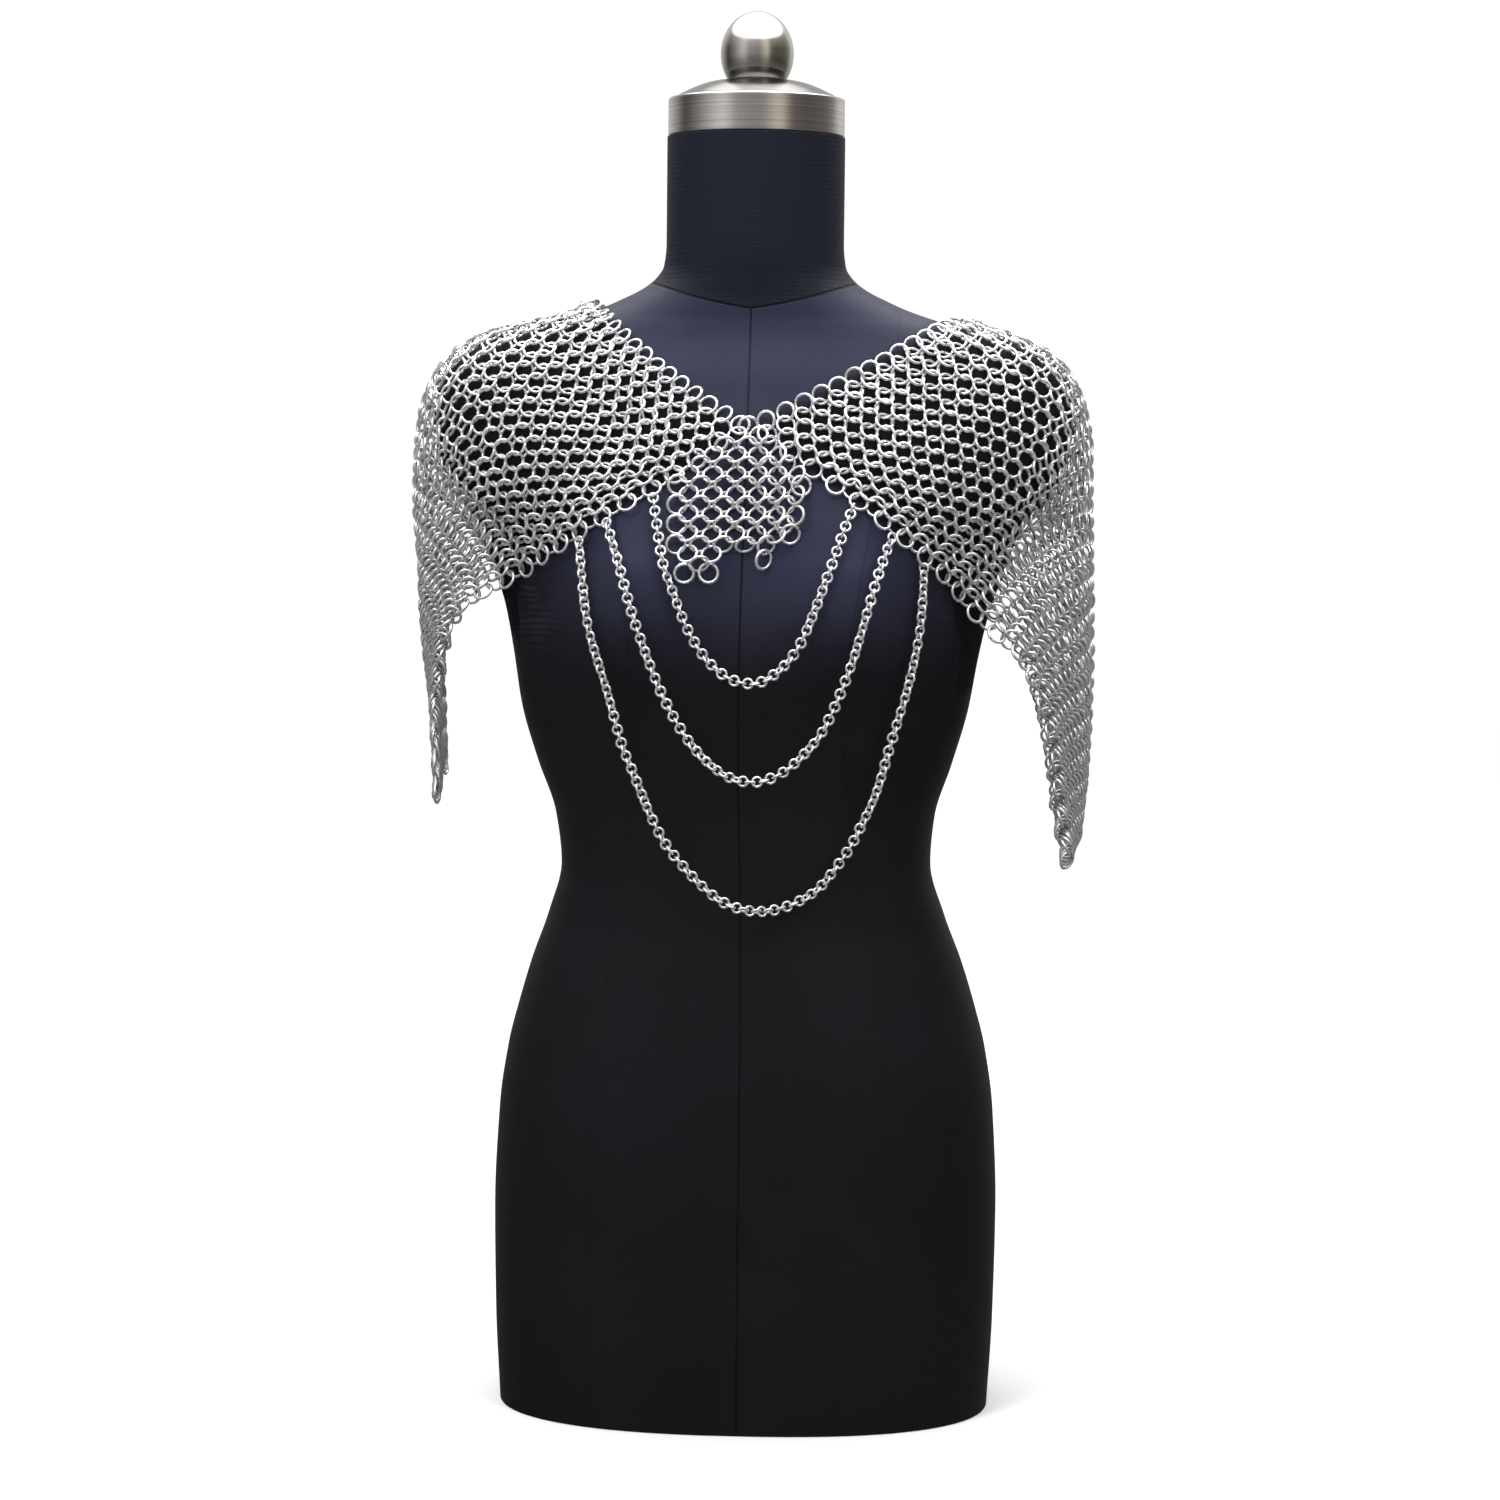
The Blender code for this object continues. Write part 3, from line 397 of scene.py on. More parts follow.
def smooth_value(places, values, where):
    """Value at each place in where, on a smooth curve through the table (limited cubic)."""
    places = np.asarray(places, dtype=float)
    values = np.asarray(values, dtype=float)
    where = np.clip(where, places[0], places[-1])
    steps = np.diff(places)
    slopes = np.diff(values) / steps
    tangents = np.empty_like(values)
    tangents[0] = slopes[0]
    tangents[-1] = slopes[-1]
    before, after = slopes[:-1], slopes[1:]
    weight = steps[1:] + 2.0 * steps[:-1]
    other = 2.0 * steps[1:] + steps[:-1]
    same_way = before * after > 0.0
    safe_before = np.where(same_way, before, 1.0)
    safe_after = np.where(same_way, after, 1.0)
    mean = (weight + other) / (weight / safe_before + other / safe_after)
    tangents[1:-1] = np.where(same_way, mean, 0.0)
    index = np.clip(np.searchsorted(places, where, side="right") - 1, 0, len(steps) - 1)
    step = steps[index]
    t = (where - places[index]) / step
    return (values[index] * (1 + 2 * t) * (1 - t) ** 2
            + step * tangents[index] * t * (1 - t) ** 2
            + values[index + 1] * t * t * (3 - 2 * t)
            - step * tangents[index + 1] * t * t * (1 - t))


def form_section(height):
    """Half width, front depth, back depth and squareness of the form at each height."""
    heights = [row.height for row in FORM_SECTIONS]
    return [smooth_value(heights, [getattr(row, column) for row in FORM_SECTIONS], height)
            for column in ("half_width", "front", "back", "squareness")]


def form_middle(height):
    """Side place of the form's middle: the waist stands a little to the left of the neck."""
    return -LEAN * np.exp(-((height - LEAN_HEIGHT) / LEAN_SPREAD) ** 2)


def bust_depth(side, height):
    """How far the bust stands out past the plain section: two soft humps."""
    up = height - BUST_HEIGHT
    spread = np.where(up > 0.0, BUST_SPREAD_UP, BUST_SPREAD_DOWN)
    rise = np.exp(-(up / spread) ** 2)
    across = (np.abs(side) - BUST_SIDE) / BUST_SPREAD_X
    return BUST_RISE * rise * np.exp(-across ** 2)


def form_level(points):
    """One on the form's skin, less inside it and more outside it: (|x/w|^s + |y/d|^s)^(1/s)."""
    depth, height = points[..., 1], points[..., 2]
    side = points[..., 0] - form_middle(height)
    half_width, front, back, squareness = form_section(height)
    reach = np.where(depth < 0.0, front + bust_depth(side, height), back)
    total = np.abs(side / half_width) ** squareness + np.abs(depth / reach) ** squareness
    return np.maximum(total, 1e-12) ** (1.0 / squareness)


def form_distance(points):
    """Distance from the form's skin, positive outside, and the outward direction there."""
    slope = np.empty_like(points)
    for axis in range(3):
        shift = np.zeros(3)
        shift[axis] = SLOPE_STEP
        rise = form_level(points + shift) - form_level(points - shift)
        slope[..., axis] = rise / (2.0 * SLOPE_STEP)
    steepness = np.maximum(np.linalg.norm(slope, axis=-1, keepdims=True), 1e-6)
    distance = (form_level(points)[..., None] - 1.0) / steepness
    return distance[..., 0], slope / steepness


def settle_on_form(points, clear, lie):
    """Push points out of the form to the clear distance, and draw lie of the rest back to it."""
    settled = points.copy()
    for _ in range(SETTLE_PASSES):
        distance, outward = form_distance(settled)
        short = clear - distance
        move = np.where(short > 0.0, short, lie * short)
        settled += np.clip(move, -SETTLE_REACH, SETTLE_REACH)[..., None] * outward
    return settled


def depth_in_front(side, height, clear):
    """Depth at which a point in front of the form is the clear distance off its skin."""
    count = int(round((FARTHEST_DEPTH - NEAREST_DEPTH) / DEPTH_STEP)) + 1
    reach = np.linspace(-NEAREST_DEPTH, -FARTHEST_DEPTH, count)
    side, height, clear = np.broadcast_arrays(side, height, clear)
    distance, _ = form_distance(xyz(side[..., None], reach, height[..., None]))
    beyond = np.argmax(distance >= clear[..., None], axis=-1)
    picked = np.take_along_axis(distance, np.stack([beyond - 1, beyond], axis=-1), axis=-1)
    share = (clear - picked[..., 0]) / (picked[..., 1] - picked[..., 0])
    return reach[beyond - 1] + share * (reach[1] - reach[0])


def panel_points(stations, along, across):
    """Middle surface of a mail panel at shares along its rows (0 front, 1 back) and across them.

    A row runs from the ridge to its ends: point = ridge + (end - ridge) s, where s is an arch
    |u|^curl with a soft top sideways and upwards and a bow |u| + f |u| (1 - |u|) in depth, with u
    from -1 at the front end to 1 at the back one. The points then settle on the form.
    """
    places = [row.across for row in stations]

    def column(name, axis=None):
        values = [getattr(row, name) if axis is None else getattr(row, name)[axis]
                  for row in stations]
        return smooth_value(places, values, across)

    edge, ridge, tail = (xyz(*(column(name, axis) for axis in range(3)))
                         for name in ("edge", "ridge", "tail"))
    curl, lie, dip, thick = (column(name) for name in ("curl", "lie", "dip", "thick"))
    reach = 2.0 * along - 1.0
    end = np.where(reach[..., None] < 0.0, edge, tail)
    bend = np.abs(reach)
    soft = np.sqrt(bend ** 2 + RIDGE_SOFTNESS ** 2) - RIDGE_SOFTNESS
    arch = (soft / (np.sqrt(1.0 + RIDGE_SOFTNESS ** 2) - RIDGE_SOFTNESS)) ** curl
    bow = bend + ROW_FULLNESS * lie * bend * (1.0 - bend)
    points = ridge + (end - ridge) * xyz(arch, bow, arch)
    points[..., 2] -= np.where(reach < 0.0, 4.0 * dip * bend * (1.0 - bend), 0.0)
    loose = np.clip((across - GATHER_FROM) / (1.0 - GATHER_FROM), 0.0, 1.0)
    outward = np.sign(ridge[..., 0])
    wave = np.sin(GATHERS * np.pi * reach) * np.sin(0.5 * np.pi * loose)
    points[..., 0] += outward * GATHER_DEPTH * wave
    lie = lie * (bend + (1.0 - bend) * lie ** 2)
    clear = 0.5 * thick + MAIL_CLEARANCE + MAIL_SPRING * (1.0 - lie)
    return settle_on_form(points, clear, lie)


def front_edge_height(side):
    """Height of the panels' front lower edge above each side place near the middle."""
    across = np.linspace(0.0, EDGE_REACH, EDGE_SAMPLES)
    left, right = (panel_points(stations, 0.0 * across, across)
                   for stations in (LEFT_STATIONS, RIGHT_STATIONS))
    line = np.concatenate([left[::-1], right])
    return np.interp(side, line[:, 0], line[:, 2])


def smooth_route(points, spacing):
    """Points at an even spacing on a smooth curve through the route's own points."""
    points = np.asarray(points, dtype=float)
    ends = np.vstack([2 * points[0] - points[1], points, 2 * points[-1] - points[-2]])
    t = np.linspace(0.0, 1.0, ROUTE_SAMPLES, endpoint=False)[:, None]
    pieces = []
    for i in range(len(points) - 1):
        a, b, c, d = ends[i:i + 4]
        pieces.append(0.5 * (2 * b + (c - a) * t + (2 * a - 5 * b + 4 * c - d) * t ** 2
                             + (3 * b - a - 3 * c + d) * t ** 3))
    fine = np.vstack(pieces + [points[-1:]])
    length = length_along(fine)
    count = int(round(length[-1] / spacing)) + 1
    return points_at(np.linspace(0.0, length[-1], count), length, fine)


def swag_path(swag, diameter):
    """A swag in space from one panel's front edge to the other's.

    Its ends hang just under the edges. It lies on the form down to where the bust stands
    out most, and from there it hangs straight down in front of the body.
    """
    ends = []
    for stations, share, drop in ((LEFT_STATIONS, swag.left_share, swag.left_drop),
                                  (RIGHT_STATIONS, swag.right_share, swag.right_drop)):
        edge = panel_points(stations, np.zeros(1), np.array([share]))[0]
        ends.append((edge[0], edge[2] - drop))
    side, height = np.array([ends[0], *swag.route, ends[1]]).T
    depth = depth_in_front(side, height, 0.5 * diameter + CHAIN_CLEARANCE)
    lowest = int(np.argmin(height))
    left = np.minimum.accumulate(depth[:lowest + 1])
    right = np.minimum.accumulate(depth[lowest:][::-1])[::-1]
    level = 0.5 * (left[-1] + right[0])
    return xyz(side, np.concatenate([left[:-1], [level], right[1:]]), height)


def mesh_object(name, points, faces, material, attributes=()):
    """A smooth mesh from whole arrays of points and four-sided faces, with point attributes."""

    def fill(data, key, values, kind):
        data.foreach_set(key, np.ascontiguousarray(values, dtype=kind).ravel())

    mesh = bpy.data.meshes.new(name)
    mesh.vertices.add(points.size // 3)
    fill(mesh.vertices, "co", points, np.float32)
    mesh.loops.add(faces.size)
    fill(mesh.loops, "vertex_index", faces, np.int32)
    mesh.polygons.add(len(faces))
    fill(mesh.polygons, "loop_start", np.arange(len(faces)) * 4, np.int32)
    fill(mesh.polygons, "loop_total", np.full(len(faces), 4), np.int32)
    mesh.update(calc_edges=True)
    for key, values in attributes:
        fill(mesh.attributes.new(key, "FLOAT_VECTOR", "POINT").data, "vector", values, np.float32)
    mesh.shade_smooth()
    mesh.materials.append(material)
    made = bpy.data.objects.new(name, mesh)
    bpy.context.scene.collection.objects.link(made)
    return made


def grid_faces(rows, columns, wrap_rows, wrap_columns):
    """Four-sided faces over a grid of points, closed round either way where it wraps."""
    row = np.arange(rows if wrap_rows else rows - 1)[:, None]
    column = np.arange(columns if wrap_columns else columns - 1)[None, :]
    below, right = (row + 1) % rows, (column + 1) % columns
    return np.stack([row * columns + column, row * columns + right,
                     below * columns + right, below * columns + column], axis=-1).reshape(-1, 4)


def wire_rings(name, centres, normals, along, radius, wire, steps, material, tones):
    """Closed rings of round wire, one about each centre.

    point = centre + (radius + w cos b) (X cos a + Y sin a) + w sin b N, where w is half the
    wire, N is the ring's own normal, X is along squared up to it and Y = N x X. The attribute
    ring holds each ring's tone and the cosine and sine of a, counted from its closed joint.
    """
    around, about = steps
    across = square_to(along, normals)
    up = np.cross(normals, across)
    a, b = full_turn(around), full_turn(about)
    rim = across[:, None, :] * np.cos(a)[:, None] + up[:, None, :] * np.sin(a)[:, None]
    out = radius + 0.5 * wire * np.cos(b)
    points = (centres[:, None, None, :] + rim[:, :, None, :] * out[:, None]
              + normals[:, None, None, :] * (0.5 * wire * np.sin(b))[:, None])
    one = grid_faces(around, about, True, True)
    faces = one + (np.arange(len(centres)) * around * about)[:, None, None]
    joint = 2.0 * np.pi * ((tones * JOINT_SPREAD) % 1.0)
    angle = (a - joint[:, None])[..., None] + 0.0 * b
    marks = xyz(tones[:, None, None], np.cos(angle), np.sin(angle))
    return mesh_object(name, points, faces.reshape(-1, 4), material, (("ring", marks),))


def stand_for(made, node):
    """Put a finished piece in the place of its solid: parent it to the root and hide the solid."""
    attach(made, "root")
    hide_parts(node)


class Value:
    """A shader number that Python's own signs work on, each adding one Math node."""

    def __init__(self, shader, socket):
        self.shader = shader
        self.socket = socket

    def __add__(self, other):
        return self.shader.maths("ADD", self, other)

    def __sub__(self, other):
        return self.shader.maths("SUBTRACT", self, other)

    def __rsub__(self, other):
        return self.shader.maths("SUBTRACT", other, self)

    def __mul__(self, other):
        return self.shader.maths("MULTIPLY", self, other)

    def __abs__(self):
        return self.shader.maths("ABSOLUTE", self)

    __radd__ = __add__
    __rmul__ = __mul__

    def wave(self):
        """A sine wave of the value between 0 and 1: sin(x) / 2 + 1 / 2."""
        return self.shader.maths("SINE", self) * 0.5 + 0.5

    def step(self, low, high):
        """0 up to low, 1 from high, and a soft s-curve between."""
        made = self.shader.node("ShaderNodeMapRange", {"interpolation_type": "SMOOTHSTEP"},
                                {"Value": self, "From Min": low, "From Max": high})
        return Value(self.shader, made.outputs["Result"])

    def line(self, core, edge):
        """1 within core of zero either way, 0 from edge, and a soft s-curve between."""
        return 1.0 - abs(self).step(core, edge)


class Shader:
    """A Principled material whose varying parts are written as sums of values."""

    def __init__(self, name, **constants):
        self.material = bpy.data.materials.new(name)
        self.material.use_nodes = True
        self.tree = self.material.node_tree
        self.surface = self.tree.nodes["Principled BSDF"]
        self.out(**constants)

    def feed(self, socket, value):
        """Set a socket to a number or colour, or link a value or socket to it."""
        if isinstance(value, Value):
            value = value.socket
        if isinstance(value, bpy.types.NodeSocket):
            self.tree.links.new(value, socket)
        else:
            socket.default_value = value

    def out(self, **inputs):
        """Feed the surface's own sockets and hand back the material."""
        for key, value in inputs.items():
            self.feed(self.surface.inputs[key.replace("_", " ")], value)
        return self.material

    def node(self, kind, settings, inputs):
        """A node of the kind, with its settings set first and then its inputs."""
        made = self.tree.nodes.new(kind)
        for key, value in settings.items():
            setattr(made, key, value)
        for key, value in inputs.items():
            self.feed(made.inputs[key], value)
        return made

    def maths(self, operation, *values):
        made = self.node("ShaderNodeMath", {"operation": operation}, dict(enumerate(values)))
        return Value(self, made.outputs[0])

    def parts(self, vector):
        made = self.node("ShaderNodeSeparateXYZ", {}, {"Vector": vector})
        return [Value(self, made.outputs[axis]) for axis in range(3)]

    def place(self):
        """The object's own coordinates as a vector socket and as three values."""
        vector = self.node("ShaderNodeTexCoord", {}, {}).outputs["Object"]
        return vector, self.parts(vector)

    def attribute(self, name):
        """A mesh attribute's vector socket and its three values."""
        vector = self.node("ShaderNodeAttribute", {"attribute_name": name}, {}).outputs["Vector"]
        return vector, self.parts(vector)

    def stretched(self, vector, factors):
        made = self.node("ShaderNodeVectorMath", {"operation": "MULTIPLY"}, {0: vector, 1: factors})
        return made.outputs[0]

    def noise(self, vector, scale, detail=3.0, roughness=0.55):
        made = self.node("ShaderNodeTexNoise", {}, {"Vector": vector, "Scale": scale,
                                                    "Detail": detail, "Roughness": roughness})
        return Value(self, made.outputs["Fac"])

    def cells(self, vector, scale):
        made = self.node("ShaderNodeTexVoronoi", {"feature": "F1"}, {"Vector": vector, "Scale": scale})
        return Value(self, made.outputs["Distance"])

    def blend(self, share, first, second):
        """Colour from first to second as share goes from 0 to 1."""
        made = self.node("ShaderNodeMix", {"data_type": "RGBA"}, {0: share, 6: first, 7: second})
        return made.outputs[2]

    def bump(self, height, distance, strength):
        made = self.node("ShaderNodeBump", {}, {"Height": height, "Distance": distance,
                                                "Strength": strength})
        self.out(Normal=made.outputs["Normal"])


def ring_metal(name, bright, low_tone, rough):
    """Drawn aluminium wire: each ring its own tone, fine drawing marks, a dark joint line. The panels'
    low hanging rings carry painted shade in their tone.
    """
    shader = Shader(name, Metallic=0.88)
    vector, _ = shader.place()
    _, (tone, cosine, sine) = shader.attribute("ring")
    cloud = shader.noise(vector, 90.0)
    grain = shader.noise(vector, 1900.0, 2.0)
    joint = sine.line(0.03, 0.10) * cosine.step(0.2, 0.6)
    # Share towards the bright colour from random tone and mottle; in the panels' low hanging rings the
    # tone also carries painted shade
    bright_share = (tone * 0.55 + cloud * 0.6).step(0.25, 0.85)
    colour = shader.blend(bright_share, low_tone, bright)
    colour = shader.blend(joint * 0.75, colour, JOINT_COLOUR)
    shader.bump(grain * 0.35 + cloud * 0.2 - joint, 0.00012, 0.6)
    return shader.out(Base_Color=colour, Roughness=rough + grain * 0.10 + (1.0 - bright_share) * 0.12)


def leather_material(chest):
    """Dark navy leatherette: fine grain, sewn seams, ribs on the neck and ripples by the arms; painted
    light on the upper chest, painted shade on the waist, under the arms and under the mail.
    """
    shader = Shader("form_leather", Metallic=0.0, Specular_IOR_Level=0.15)
    vector, (side, _, height) = shader.place()
    _, (centre, princess, collar) = shader.attribute("seams")
    _, (rubbed, _, _) = shader.attribute("rubbed")
    grain = shader.cells(vector, 900.0)
    fine = shader.noise(vector, 2600.0, 2.0)
    cloud = shader.noise(vector, 9.0, 4.0).step(0.3, 0.7)
    blotch = shader.noise(vector, 45.0)
    on_neck = collar.step(-0.0004, 0.0006)
    seam = centre.line(0.00025, 0.0008) * (1.0 - on_neck)
    dart = princess.line(0.0002, 0.0009) * (1.0 - on_neck) * 0.35
    lines = (seam + dart + collar.line(0.0003, 0.0011)).step(0.0, 1.0)
    drift = shader.noise(shader.stretched(vector, (14.0, 14.0, 60.0)), 1.0)
    folds = shader.noise(vector, 26.0).step(0.36, 0.66)
    ribs = (height * 2100.0 + drift * 16.0).wave() * on_neck * folds
    near_arm = (height - 0.520).line(0.010, 0.040) * abs(side).step(0.105, 0.135)
    creases = shader.noise(vector, 38.0).step(0.38, 0.62)
    ripples = (height * 1500.0 + drift * 14.0).wave() * near_arm * creases
    # Painted shade under the arms: it takes most of the chest's painted light away there
    under_arm_shade = abs(side).step(0.075, 0.145) * (1.0 - height.step(0.560, 0.610))
    # Painted light: the upper chest is painted lighter and bluer, as if lit from above, and the waist
    # below it darker, as painted shade
    lit_upper = height.step(0.465, 0.555) * (1.0 - under_arm_shade * 0.75)
    colour = shader.blend(lit_upper, shader.blend(cloud, *SHADED_WAIST_COLOURS),
                          shader.blend(cloud, LIT_CHEST_COLOUR, chest))
    # Under the mail the leather is painted darker, as painted shade; its roughness is raised there too
    for share, other in ((on_neck, NECK_COLOUR), (ripples * 0.55, RIPPLE_COLOUR),
                         (rubbed * 0.9, UNDER_MAIL_SHADE_COLOUR), (lines * 0.85, SEAM_COLOUR)):
        colour = shader.blend(share, colour, other)
    relief = grain * 0.30 + fine * 0.12 + ribs * 0.45 + ripples * 2.6 + blotch * 0.5 - lines * 2.6
    shader.bump(relief, 0.00022, 0.9)
    rough = 0.46 + grain * 0.10 + blotch * 0.08 + on_neck * 0.06 - lit_upper * 0.04 + rubbed * 0.25
    return shader.out(Base_Color=colour, Roughness=rough)


def brushed_material(bright):
    """Steel brushed round the band: long level streaks, fine lines and smudges; a dull lid."""
    shader = Shader("brushed_steel", Metallic=1.0)
    vector, (_, _, height) = shader.place()
    streaks = shader.noise(shader.stretched(vector, (10.0, 10.0, 2600.0)), 1.0, 4.0, 0.7)
    lines = shader.noise(shader.stretched(vector, (5.0, 5.0, 700.0)), 1.0, 2.0, 0.5)
    smudge = shader.noise(vector, 28.0)
    on_lid = height.step(CAP_BAND_TOP - 0.0006, CAP_BAND_TOP + 0.0002)
    bright_share = (streaks * 0.6 + lines * 0.5).step(0.35, 0.80)
    colour = shader.blend(bright_share, BRUSHED_COLOUR, bright)
    colour = shader.blend(on_lid * 0.92, colour, LID_COLOUR)
    shader.bump(streaks * 0.5 + lines * 0.4, 0.00008, 0.6)
    return shader.out(Base_Color=colour, Roughness=0.06 + streaks * 0.08 + smudge * 0.06)


def polished_material(bright):
    """Polished steel of the ball: faint turning lines, smudges from hands, tiny pits."""
    shader = Shader("polished_steel", Metallic=1.0)
    vector, _ = shader.place()
    smudge = shader.noise(vector, 60.0, 4.0).step(0.40, 0.70)
    turning = shader.noise(shader.stretched(vector, (30.0, 30.0, 3000.0)), 1.0, 2.0)
    pits = 1.0 - shader.cells(vector, 420.0).step(0.02, 0.09)
    colour = shader.blend(smudge, bright, SMUDGE_COLOUR)
    colour = shader.blend(pits * 0.5, colour, PIT_COLOUR)
    shader.bump(turning * 0.25 - pits * 0.6, 0.00006, 0.5)
    return shader.out(Base_Color=colour, Roughness=0.03 + smudge * 0.08 + turning * 0.03)


def studio_material():
    """Walls that glow softly in the tones of the table, seen only in the metal and the gloss."""
    shader = Shader("studio_walls", Base_Color=(0.0, 0.0, 0.0, 1.0), Specular_IOR_Level=0.0,
                    Emission_Strength=1.0)
    glow, _ = shader.attribute("glow")
    return shader.out(Emission_Color=glow)


def floor_material():
    """Pale matt floor with a very faint mottle."""
    shader = Shader("floor", Metallic=0.0, Specular_IOR_Level=0.2)
    vector, _ = shader.place()
    cloud = shader.noise(vector, 3.0)
    return shader.out(Base_Color=shader.blend(cloud, *FLOOR_COLOURS), Roughness=0.75 + cloud * 0.1)


def length_setting(name, description, default):
    """A setting in metres."""
    return FloatProperty(name=name, description=description, default=default, unit="LENGTH")


def angle_setting(name, description, degrees):
    """A setting that is an angle, its default given in degrees."""
    return FloatProperty(name=name, description=description, default=math.radians(degrees),
                         subtype="ANGLE")


def count_setting(name, description, default, least):
    """A setting that is a whole number."""
    return IntProperty(name=name, description=description, default=default, min=least)


def share_setting(name, description, default):
    """A setting between nothing and one."""
    return FloatProperty(name=name, description=description, default=default, min=0.0, max=1.0,
                         subtype="FACTOR")


def colour_setting(name, description, default):
    """A setting that is a colour."""
    return FloatVectorProperty(name=name, description=description, default=default, size=4,
                               min=0.0, max=1.0, subtype="COLOR")


class StageSettings(bpy.types.PropertyGroup):
    """The camera, the lights and the floor."""
    distance: length_setting("Distance", "Camera's level distance from the form's middle", 2.3)
    height: length_setting("Height", "Camera's height above the floor", 0.62)
    turn: angle_setting("Turn", "How far the camera stands round to the right", 2.5)
    roll: angle_setting("Roll", "How far the camera is rolled", 0.6)
    aim: length_setting("Aim", "Height that the camera looks at", 0.4265)
    span: length_setting("Span", "Width of the picture at the form's middle", 0.975)
    light: FloatProperty(
        name="Light", description="Strength of the soft light from all round", default=1.05, min=0.0)


class ChainSettings(bpy.types.PropertyGroup):
    """The three chain swags."""
    diameter: length_setting("Link Width", "Width over a link", 0.0075)
    wire: length_setting("Wire", "Thickness of a link's wire", 0.0016)
    twist: angle_setting("Twist", "How far links turn from their neighbours' square place", 16.0)
    segments: count_setting("Segments", "Steps round a link", 16, 8)
    bright: colour_setting("Bright", "Colour of the brightest links", (0.95, 0.95, 0.96, 1.0))
    low_tone: colour_setting("Dull", "Colour of the dullest links", (0.80, 0.795, 0.81, 1.0))
    rough: share_setting("Roughness", "Least roughness of the links", 0.20)


class FormSettings(bpy.types.PropertyGroup):
    """The dress form with its steel cap and ball."""
    segments: count_setting("Segments", "Steps round the form", 288, 48)
    rings: count_setting("Rings", "Steps up the form", 230, 48)
    cap_segments: count_setting("Cap Segments", "Steps round the cap and ball", 128, 36)
    # The chest's colour is painted light from above, lighter than the waist's painted shade
    leather: colour_setting("Leather", "Colour of the leather where it is lightest, on the chest",
                            (0.0152, 0.0173, 0.0365, 1.0))
    band: colour_setting("Band", "Colour of the brightest streaks on the cap's band",
                         (0.84, 0.80, 0.775, 1.0))
    ball: colour_setting("Ball", "Colour of the ball where it is clean", (0.60, 0.575, 0.55, 1.0))


class MailSettings(bpy.types.PropertyGroup):
    """The rings of the panels and the flap."""
    rows: count_setting("Rows", "Rows of rings from the neckline to the hem", 41, 8)
    rings: count_setting("Rings", "Rings in a row from front to back", 33, 8)
    radius: length_setting("Ring Radius", "Radius of a ring to the middle of its wire", 0.0059)
    wire: length_setting("Wire", "Thickness of a ring's wire", 0.0020)
    play: angle_setting("Play", "How far rings lean from their even place", 2.5)
    bright: colour_setting("Bright", "Colour of the brightest rings", (0.94, 0.94, 0.95, 1.0))
    low_tone: colour_setting("Dull", "Colour of the panels' dullest rings", (0.64, 0.635, 0.65, 1.0))
    flap_dull: colour_setting("Flap Dull", "Colour of the flap's dullest rings", (0.78, 0.775, 0.79, 1.0))
    rough: share_setting("Roughness", "Least roughness of the rings", 0.22)


def studio_walls():
    """The dim studio round the object: rings of points at the table's radii and heights.

    Each point glows with its ring's brightness, times that of its turn round from the camera
    but for the part that is even.
    """
    turn = full_turn(WALL_STEPS) - np.pi
    radius, height, level, even = np.array(STUDIO_RINGS).T[:, :, None]
    points = xyz(radius * np.sin(turn), -radius * np.cos(turn), height)
    turns, bright, warm = np.array(WALL_TONES).T
    tone = level * (even + (1.0 - even) * smooth_value(turns, bright, np.degrees(turn)))
    warmth = (1.0 - even) * smooth_value(turns, warm, np.degrees(turn))
    glow = xyz(tone * (1.0 + WARM_RED * warmth), tone, tone * (1.0 - warmth))
    faces = grid_faces(len(STUDIO_RINGS), WALL_STEPS, False, True)
    walls = mesh_object("studio", points, faces, studio_material(), (("glow", glow),))
    walls.visible_camera = False
    walls.visible_diffuse = False
    walls.visible_shadow = False
    return walls


def aimed(place, target):
    """Place and turn of something that stands at place and looks at target."""
    place = Vector(place)
    turn = (Vector(target) - place).to_track_quat("-Z", "Y")
    return Matrix.Translation(place) @ turn.to_matrix().to_4x4()


class CAPE_OT_stage(bpy.types.Operator):
    """Set the camera, the soft lights and the pale floor"""
    bl_idname = "cape.stage"
    bl_label = "Set Stage"

    def execute(self, context):
        settings = context.scene.cape_stage
        scene = context.scene
        camera = bpy.data.objects.new("camera", bpy.data.cameras.new("camera"))
        scene.collection.objects.link(camera)
        level = settings.distance
        place = (level * math.sin(settings.turn), -level * math.cos(settings.turn), settings.height)
        roll = Matrix.Rotation(settings.roll, 4, "Z")
        camera.matrix_world = aimed(place, (0.0, 0.0, settings.aim)) @ roll
        camera.data.sensor_width = FILM_WIDTH
        reach = math.hypot(level, settings.height - settings.aim)
        camera.data.lens = FILM_WIDTH / (settings.span / level) * reach / level
        scene.camera = camera
        scene.view_settings.view_transform = "Standard"

        world = bpy.data.worlds.new("studio")
        world.use_nodes = True
        background = world.node_tree.nodes["Background"]
        background.inputs["Color"].default_value = (1.0, 1.0, 1.0, 1.0)
        background.inputs["Strength"].default_value = settings.light
        scene.world = world

        points = np.array([(-1.0, -1.0), (1.0, -1.0), (1.0, 1.0), (-1.0, 1.0)]) * FLOOR_REACH
        floor = mesh_object("floor", xyz(*points.T, -FLOOR_DROP), np.array([[0, 1, 2, 3]]),
                            floor_material())
        studio_walls()
        floor.visible_glossy = False

        for name, spot, size, power, colour in LAMPS:
            lamp = bpy.data.lights.new(name, "AREA")
            lamp.shape = "DISK"
            lamp.size = size
            lamp.energy = power
            lamp.color = colour
            made = bpy.data.objects.new(name, lamp)
            made.matrix_world = aimed(spot, (0.0, 0.0, LAMP_AIM))
            made.visible_glossy = False
            scene.collection.objects.link(made)
        return {"FINISHED"}


